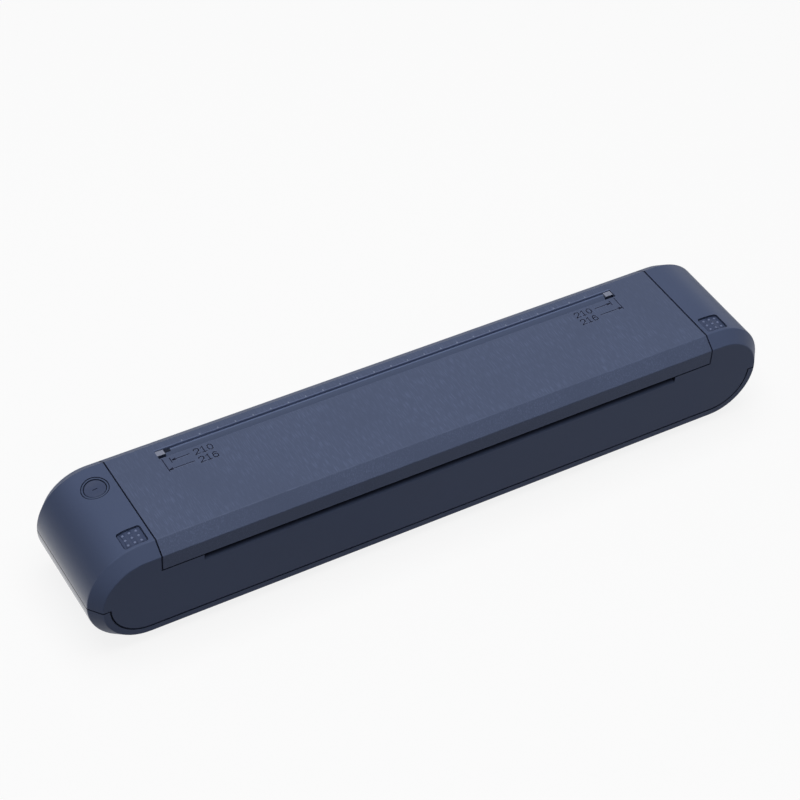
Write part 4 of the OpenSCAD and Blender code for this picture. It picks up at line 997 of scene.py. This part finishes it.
def repeat(net, points, given):
    """Sets a copy of a shape on each point."""
    shape = net.add("GeometryNodeObjectInfo", None, {"Object": given["Shape"]}, "Geometry")
    return net.add("GeometryNodeInstanceOnPoints", None, {"Points": points, "Instance": shape})


def repeated(name, shape, places, body, slot, material, replaced=(), sharp=35, adjust=None):
    """A piece made of one shape set on many places by a geometry tree."""
    source = placed(name + "_shape", shape)
    mesh = grown(name, repeat, {"Shape": ("Object", source)}, points_mesh(name, places), material)
    bpy.data.objects.remove(source)
    if adjust:
        adjust(mesh)
    smooth(mesh, sharp)
    return piece(name, mesh, body, slot, material, replaced)


def bar_shape(name, size, bevel=0.0):
    """A bar standing on the origin, with its upper edges cut back."""
    shape = bmesh.new()
    w, d, h = size[0] / 2, size[1] / 2, size[2]
    levels = [(0, 0.0), (h - bevel, 0.0)] + ([(h, bevel)] if bevel else [])
    loops = [
        [shape.verts.new((x * (w - cut), y * (d - cut), z)) for x, y in SQUARE]
        for z, cut in levels
    ]
    shape.faces.new(loops[0][::-1])
    shape.faces.new(loops[-1])
    for lower, upper in zip(loops, loops[1:]):
        for i in range(4):
            j = (i + 1) % 4
            shape.faces.new((lower[i], lower[j], upper[j], upper[i]))
    return mesh_from(shape, name)


def spiral(net, points, given):
    """A coil of wire on every point, turned as a whole to the given angles."""
    path = net.add("GeometryNodeCurveSpiral", None, {
        "Resolution": 20, "Rotations": given["Turns"], "Start Radius": given["Radius"],
        "End Radius": given["Radius"], "Height": given["Height"],
    })
    wire = net.add("GeometryNodeCurvePrimitiveCircle", None, {"Resolution": 8, "Radius": given["Wire"]})
    coil = net.add("GeometryNodeCurveToMesh", None, {"Curve": path, "Profile Curve": wire, "Fill Caps": True})
    return net.add(
        "GeometryNodeInstanceOnPoints", None, {"Points": points, "Instance": coil, "Rotation": given["Turn"]},
    )


def islands(node):
    """The low and high corners of each separate solid of a CAD node, from left to right."""
    shape = merged(node)
    found = []
    left = set(shape.verts)
    while left:
        group, front = set(), [left.pop()]
        while front:
            here = front.pop()
            group.add(here)
            for edge in here.link_edges:
                other = edge.other_vert(here)
                if other in left:
                    left.remove(other)
                    front.append(other)
        low = Vector(min(v.co[i] for v in group) for i in range(3))
        high = Vector(max(v.co[i] for v in group) for i in range(3))
        found.append((low, high))
    shape.free()
    return sorted(found, key=lambda corners: tuple(corners[0]))


# a quarter of the outline of a cross recess, in mm, for a head of radius 2.3
CROSS = [(1.2, 0.0), (1.2, 0.35), (0.62, 0.35), (0.35, 0.35), (0.35, 0.62), (0.35, 1.2)]
CROSS_HEAD_R = 2.3


def screw_shape(name, head_r, head_h, shank_r, length, down):
    """A pan-head screw with a cross recess, from rings in the directions of the cross's corners."""
    scale = head_r / CROSS_HEAD_R
    cross = []
    for quarter in range(4):
        turn, lean = math.cos(quarter * math.pi / 2), math.sin(quarter * math.pi / 2)
        cross += [((u * turn - v * lean) * scale, (u * lean + v * turn) * scale) for u, v in CROSS]
    facing = [Vector(point).normalized() for point in cross]
    rings = [
        [(u * 0.55, v * 0.55, head_h - 0.75 * scale) for u, v in cross],
        [(u, v, head_h - 0.04) for u, v in cross],
    ]
    profile = (
        (head_r * 0.86, head_h - 0.05), (head_r, head_h * 0.62), (head_r, 0.0),
        (shank_r, 0.0), (shank_r, -length),
    )
    for radius, height in profile:
        rings.append([(d.x * radius, d.y * radius, height) for d in facing])
    shape = bmesh.new()
    flip = -1 if down else 1
    loops = [[shape.verts.new((u * MM, v * MM * flip, h * MM * flip)) for u, v, h in ring] for ring in rings]
    shape.faces.new(loops[0])
    shape.faces.new(loops[-1][::-1])
    for inner, outer in zip(loops, loops[1:]):
        for i in range(len(cross)):
            j = (i + 1) % len(cross)
            shape.faces.new((inner[i], outer[i], outer[j], inner[j]))
    bmesh.ops.recalc_face_normals(shape, faces=shape.faces)
    return mesh_from(shape, name)


def screws(node, head_h, shank_r, down):
    """Stands in for a CAD node's screws with cross-headed ones, each as long as its own."""
    found = islands(node)
    low, high = found[0]
    head_r = (high.x - low.x) / 2 / MM
    tall = (high.z - low.z) / MM
    shape = screw_shape(node + "_screw", head_r, head_h, shank_r, tall - head_h, down)
    places = []
    for low, high in found:
        seat = low.z + head_h * MM if down else high.z - head_h * MM
        places.append(((low.x + high.x) / 2, (low.y + high.y) / 2, seat))

    def set_lengths(mesh):
        points = points_of(mesh)
        for (x, y, seat), (low, high) in zip(places, found):
            own = np.hypot(points[:, 0] - x, points[:, 1] - y) < 2 * shank_r * MM
            past_seat = (points[:, 2] - seat) * (1 if down else -1)
            points[own & (past_seat > MM), 2] = high.z if down else low.z
        mesh.vertices.foreach_set("co", points.ravel().astype(np.float32))
        mesh.update()

    steel = finishes["screw_steel"]
    repeated(
        node + "_cross_heads", shape, places, body_of[node], slot_of[node], steel, [node], 25, set_lengths,
    )


def coils(node, wire, turns, material, along_x=False, squashed_by=None, anchor_z=0.0):
    """Stands in for a CAD spring with turns of real wire."""
    found = islands(node)
    low, high = found[0]
    radius = (high.y - low.y) / 2
    length = high.x - low.x if along_x else high.z - low.z
    places = []
    for low, high in found:
        middle = (low + high) / 2
        places.append((low.x + wire, middle.y, middle.z) if along_x else (middle.x, middle.y, low.z + wire))
    sizes = {
        "Radius": ("Float", radius - wire),
        "Wire": ("Float", wire),
        "Turns": ("Float", turns),
        "Height": ("Float", length - 2 * wire),
        "Turn": ("Vector", (0, math.pi / 2 if along_x else 0, 0)),
    }
    mesh = grown(node + "_coils", spiral, sizes, points_mesh(node, places), material)
    mesh.polygons.foreach_set("use_smooth", [True] * len(mesh.polygons))
    thing = stand_in(node + "_coils", mesh, node, material)
    if squashed_by:
        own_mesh(thing)


for node, head_h, down in (
    ("case_screws", 1.4, True), ("cover_screws", 1.4, True), ("deck_screws", 0.8, False),
    ("chassis_screws", 1.4, False), ("board_screws", 1.4, False),
):
    screws(node, head_h, 1.15, down)

spring_steel = finishes["spring_steel"]
coils(
    "head_springs", 0.3 * MM, 5.0, spring_steel,
    squashed_by="head_pivot", anchor_z=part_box("head_springs")[1].z + 0.05 * MM,
)
for side in ("left", "right"):
    coils(
        "release_spring_" + side, 0.22 * MM, 5.0, spring_steel,
        squashed_by="release_press_" + side, anchor_z=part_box("release_spring_" + side)[0].z,
    )
coils("flap_spring", 0.14 * MM, 6.0, wire_painted_shade, along_x=True)

tick_y = 20.55 * MM
tick_pitch = 8 * MM
repeated(
    "ruler_ticks", bar_shape("tick", (0.5 * MM, 0.9 * MM, 0.03 * MM)),
    [(i * tick_pitch, tick_y, TOP - 0.036 * MM) for i in range(-12, 13)],
    "cover", "cover", tick_light,
)


# ---- print head details ----

head_low, head_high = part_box("head_board")
roller_low, roller_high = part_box("platen_rubber")
nip_y = (roller_low.y + roller_high.y) / 2
head_len = head_high.x - head_low.x
track_pitch = 1.2 * MM
gold = metal("gold track", plated(shade(214, 178, 96), 0.6 * MM))
dark_glaze = finish("dark heater glaze", glazed(shade(62, 52, 46)))
black_resin = finish("black potting resin", rubber(shade(34, 34, 38)))


def under_head(name, size, xs, behind_nip, below, material):
    """A row of bars on the underside of the head's ceramic."""
    places = [(x, nip_y + behind_nip * MM, head_low.z - below * MM) for x in xs]
    shape = bar_shape(name + "_bar", size)
    repeated(name, shape, places, body_of["head_board"], slot_of["head_board"], material)


track_count = int((head_len - 12 * MM) / track_pitch)
track_xs = [(i - (track_count - 1) / 2) * track_pitch for i in range(track_count)]
under_head("heater_line", (head_len - 9 * MM, 0.55 * MM, 0.02 * MM), [0], 0, 0.018, dark_glaze)
under_head("head_tracks", (0.42 * MM, 4.6 * MM, 0.02 * MM), track_xs, 3.4, 0.016, gold)
under_head("driver_resin", (head_len - 14 * MM, 3.0 * MM, 0.26 * MM), [0], 8.6, 0.24, black_resin)

# ---- small parts on the main board ----

board_low, board_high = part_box("main_board")
taken = [
    box for node in ("main_chip", "board_capacitors", "board_connectors", "board_screws", "usb_socket")
    for box in islands(node)
]


def is_free(x, y):
    """Whether a place on the board is clear of the CAD's own parts."""
    return not any(
        low.x - 2 * MM < x < high.x + 2 * MM and low.y - 1.6 * MM < y < high.y + 1.6 * MM
        for low, high in taken
    )


def board_places(pitch_x, pitch_y, margin, shift):
    """Free places in loose rows over the board."""
    places = []
    across = int((board_high.x - board_low.x - 2 * margin) / pitch_x)
    along = int((board_high.y - board_low.y - 2 * margin) / pitch_y)
    for i in range(across + 1):
        for j in range(along + 1):
            x = board_low.x + margin + i * pitch_x + (j % 2) * shift
            y = board_low.y + margin + j * pitch_y
            left_empty = (i * 5 + j * 3) % 4 == 0
            if is_free(x, y) and not left_empty:
                places.append((x, y, board_high.z - 0.01 * MM))
    return places


repeated(
    "board_resistors", bar_shape("resistor", (1.6 * MM, 0.8 * MM, 0.45 * MM), 0.08 * MM),
    board_places(5.6 * MM, 4.4 * MM, 3 * MM, 1.7 * MM), "base", "black_plastic", finishes["black_plastic"],
)

# ---- stage ----

def seen_directly(net):
    """1 for what the camera sees, itself or in a mirror or through glass; 0 for what only lights."""
    ray = net.add("ShaderNodeLightPath", None, None, "Is Camera Ray")
    outputs = ray.socket.node.outputs
    mirrored = Part(net, outputs["Is Glossy Ray"])
    through = Part(net, outputs["Is Transmission Ray"])
    return (ray + mirrored + through).at_most(1.0)


def build_floor(height):
    """A grey floor that camera and reflections see as nearly white, with its shadow."""
    made = bpy.data.materials.new("pale floor")
    net = emptied(made)
    grey = net.add("ShaderNodeBsdfDiffuse", None, {"Color": (0.16, 0.16, 0.17, 1.0)})
    white = net.add("ShaderNodeBsdfDiffuse", None, {"Color": (0.96, 0.96, 0.96, 1.0)})
    glow = net.add("ShaderNodeEmission", None, {"Color": (1.0, 1.0, 1.0, 1.0), "Strength": 1.0})
    bright = net.add("ShaderNodeMixShader", None, {0: 0.85, 1: white, 2: glow})
    both = net.add("ShaderNodeMixShader", None, {0: seen_directly(net), 1: grey, 2: bright})
    net.add("ShaderNodeOutputMaterial", None, {"Surface": both})
    reach = 6.0
    shape = bmesh.new()
    shape.faces.new([shape.verts.new((x * reach, y * reach, height)) for x, y in SQUARE])
    mesh = mesh_from(shape, "floor")
    mesh.materials.append(made)
    floor = placed("floor", mesh)


def build_world():
    """A dim studio that camera and reflections see as white."""
    world = bpy.data.worlds.new("studio")
    bpy.context.scene.world = world
    net = emptied(world)
    soft = net.add("ShaderNodeBackground", None, {"Color": (0.97, 0.98, 1.0, 1.0), "Strength": 0.2})
    white = net.add("ShaderNodeBackground", None, {"Color": (1.0, 1.0, 1.0, 1.0), "Strength": 1.0})
    both = net.add("ShaderNodeMixShader", None, {0: seen_directly(net), 1: soft, 2: white})
    net.add("ShaderNodeOutputWorld", None, {"Surface": both})


def lamp(name, place, target, size, power):
    """A soft rectangular lamp that points at a target."""
    light = bpy.data.lights.new(name, "AREA")
    light.shape = "RECTANGLE"
    light.size = size[0]
    light.size_y = size[1]
    light.energy = power
    thing = placed(name, light)
    thing.location = place
    aim = Vector(target) - Vector(place)
    thing.rotation_euler = aim.to_track_quat("-Z", "Y").to_euler()


build_floor(cad_box[0][2])
build_world()
lamp("overhead", (-0.05, 0.0, 1.3), (0, 0, 0), (1.1, 1.1), 12.1)
lamp("left_rim", (-1.2, 0.35, 0.12), (-0.1, 0, 0.02), (0.5, 0.3), 1.3)
lamp("right_rim", (1.2, 0.5, 0.2), (0.1, 0, 0.02), (0.5, 0.3), 0.5)
lamp("front_fill", (-0.5, -1.3, 0.7), (0, 0, 0.02), (0.9, 0.5), 0.4)


def build_camera():
    """The photograph's view, as fitted to its outlines and marks."""
    azimuth = math.radians(-32.6145)
    elevation = math.radians(43.2925)
    roll = math.radians(3.7997)
    back = Vector((
        math.sin(azimuth) * math.cos(elevation),
        -math.cos(azimuth) * math.cos(elevation),
        math.sin(elevation),
    ))
    right = Vector((0, 0, 1)).cross(back).normalized()
    up = back.cross(right)
    turned_right = right * math.cos(roll) + up * math.sin(roll)
    turned_up = up * math.cos(roll) - right * math.sin(roll)
    lens = bpy.data.cameras.new("camera")
    lens.lens = 107.305
    lens.sensor_width = 36
    lens.clip_start = 0.01
    lens.clip_end = 50
    camera = placed("camera", lens)
    place = Vector((-387.86, -594.24, 715.04)) * MM
    turn = Matrix((turned_right, turned_up, back)).transposed().to_4x4()
    camera.matrix_world = Matrix.Translation(place) @ turn
    bpy.context.scene.camera = camera


build_camera()
bpy.context.scene.view_settings.view_transform = "Standard"
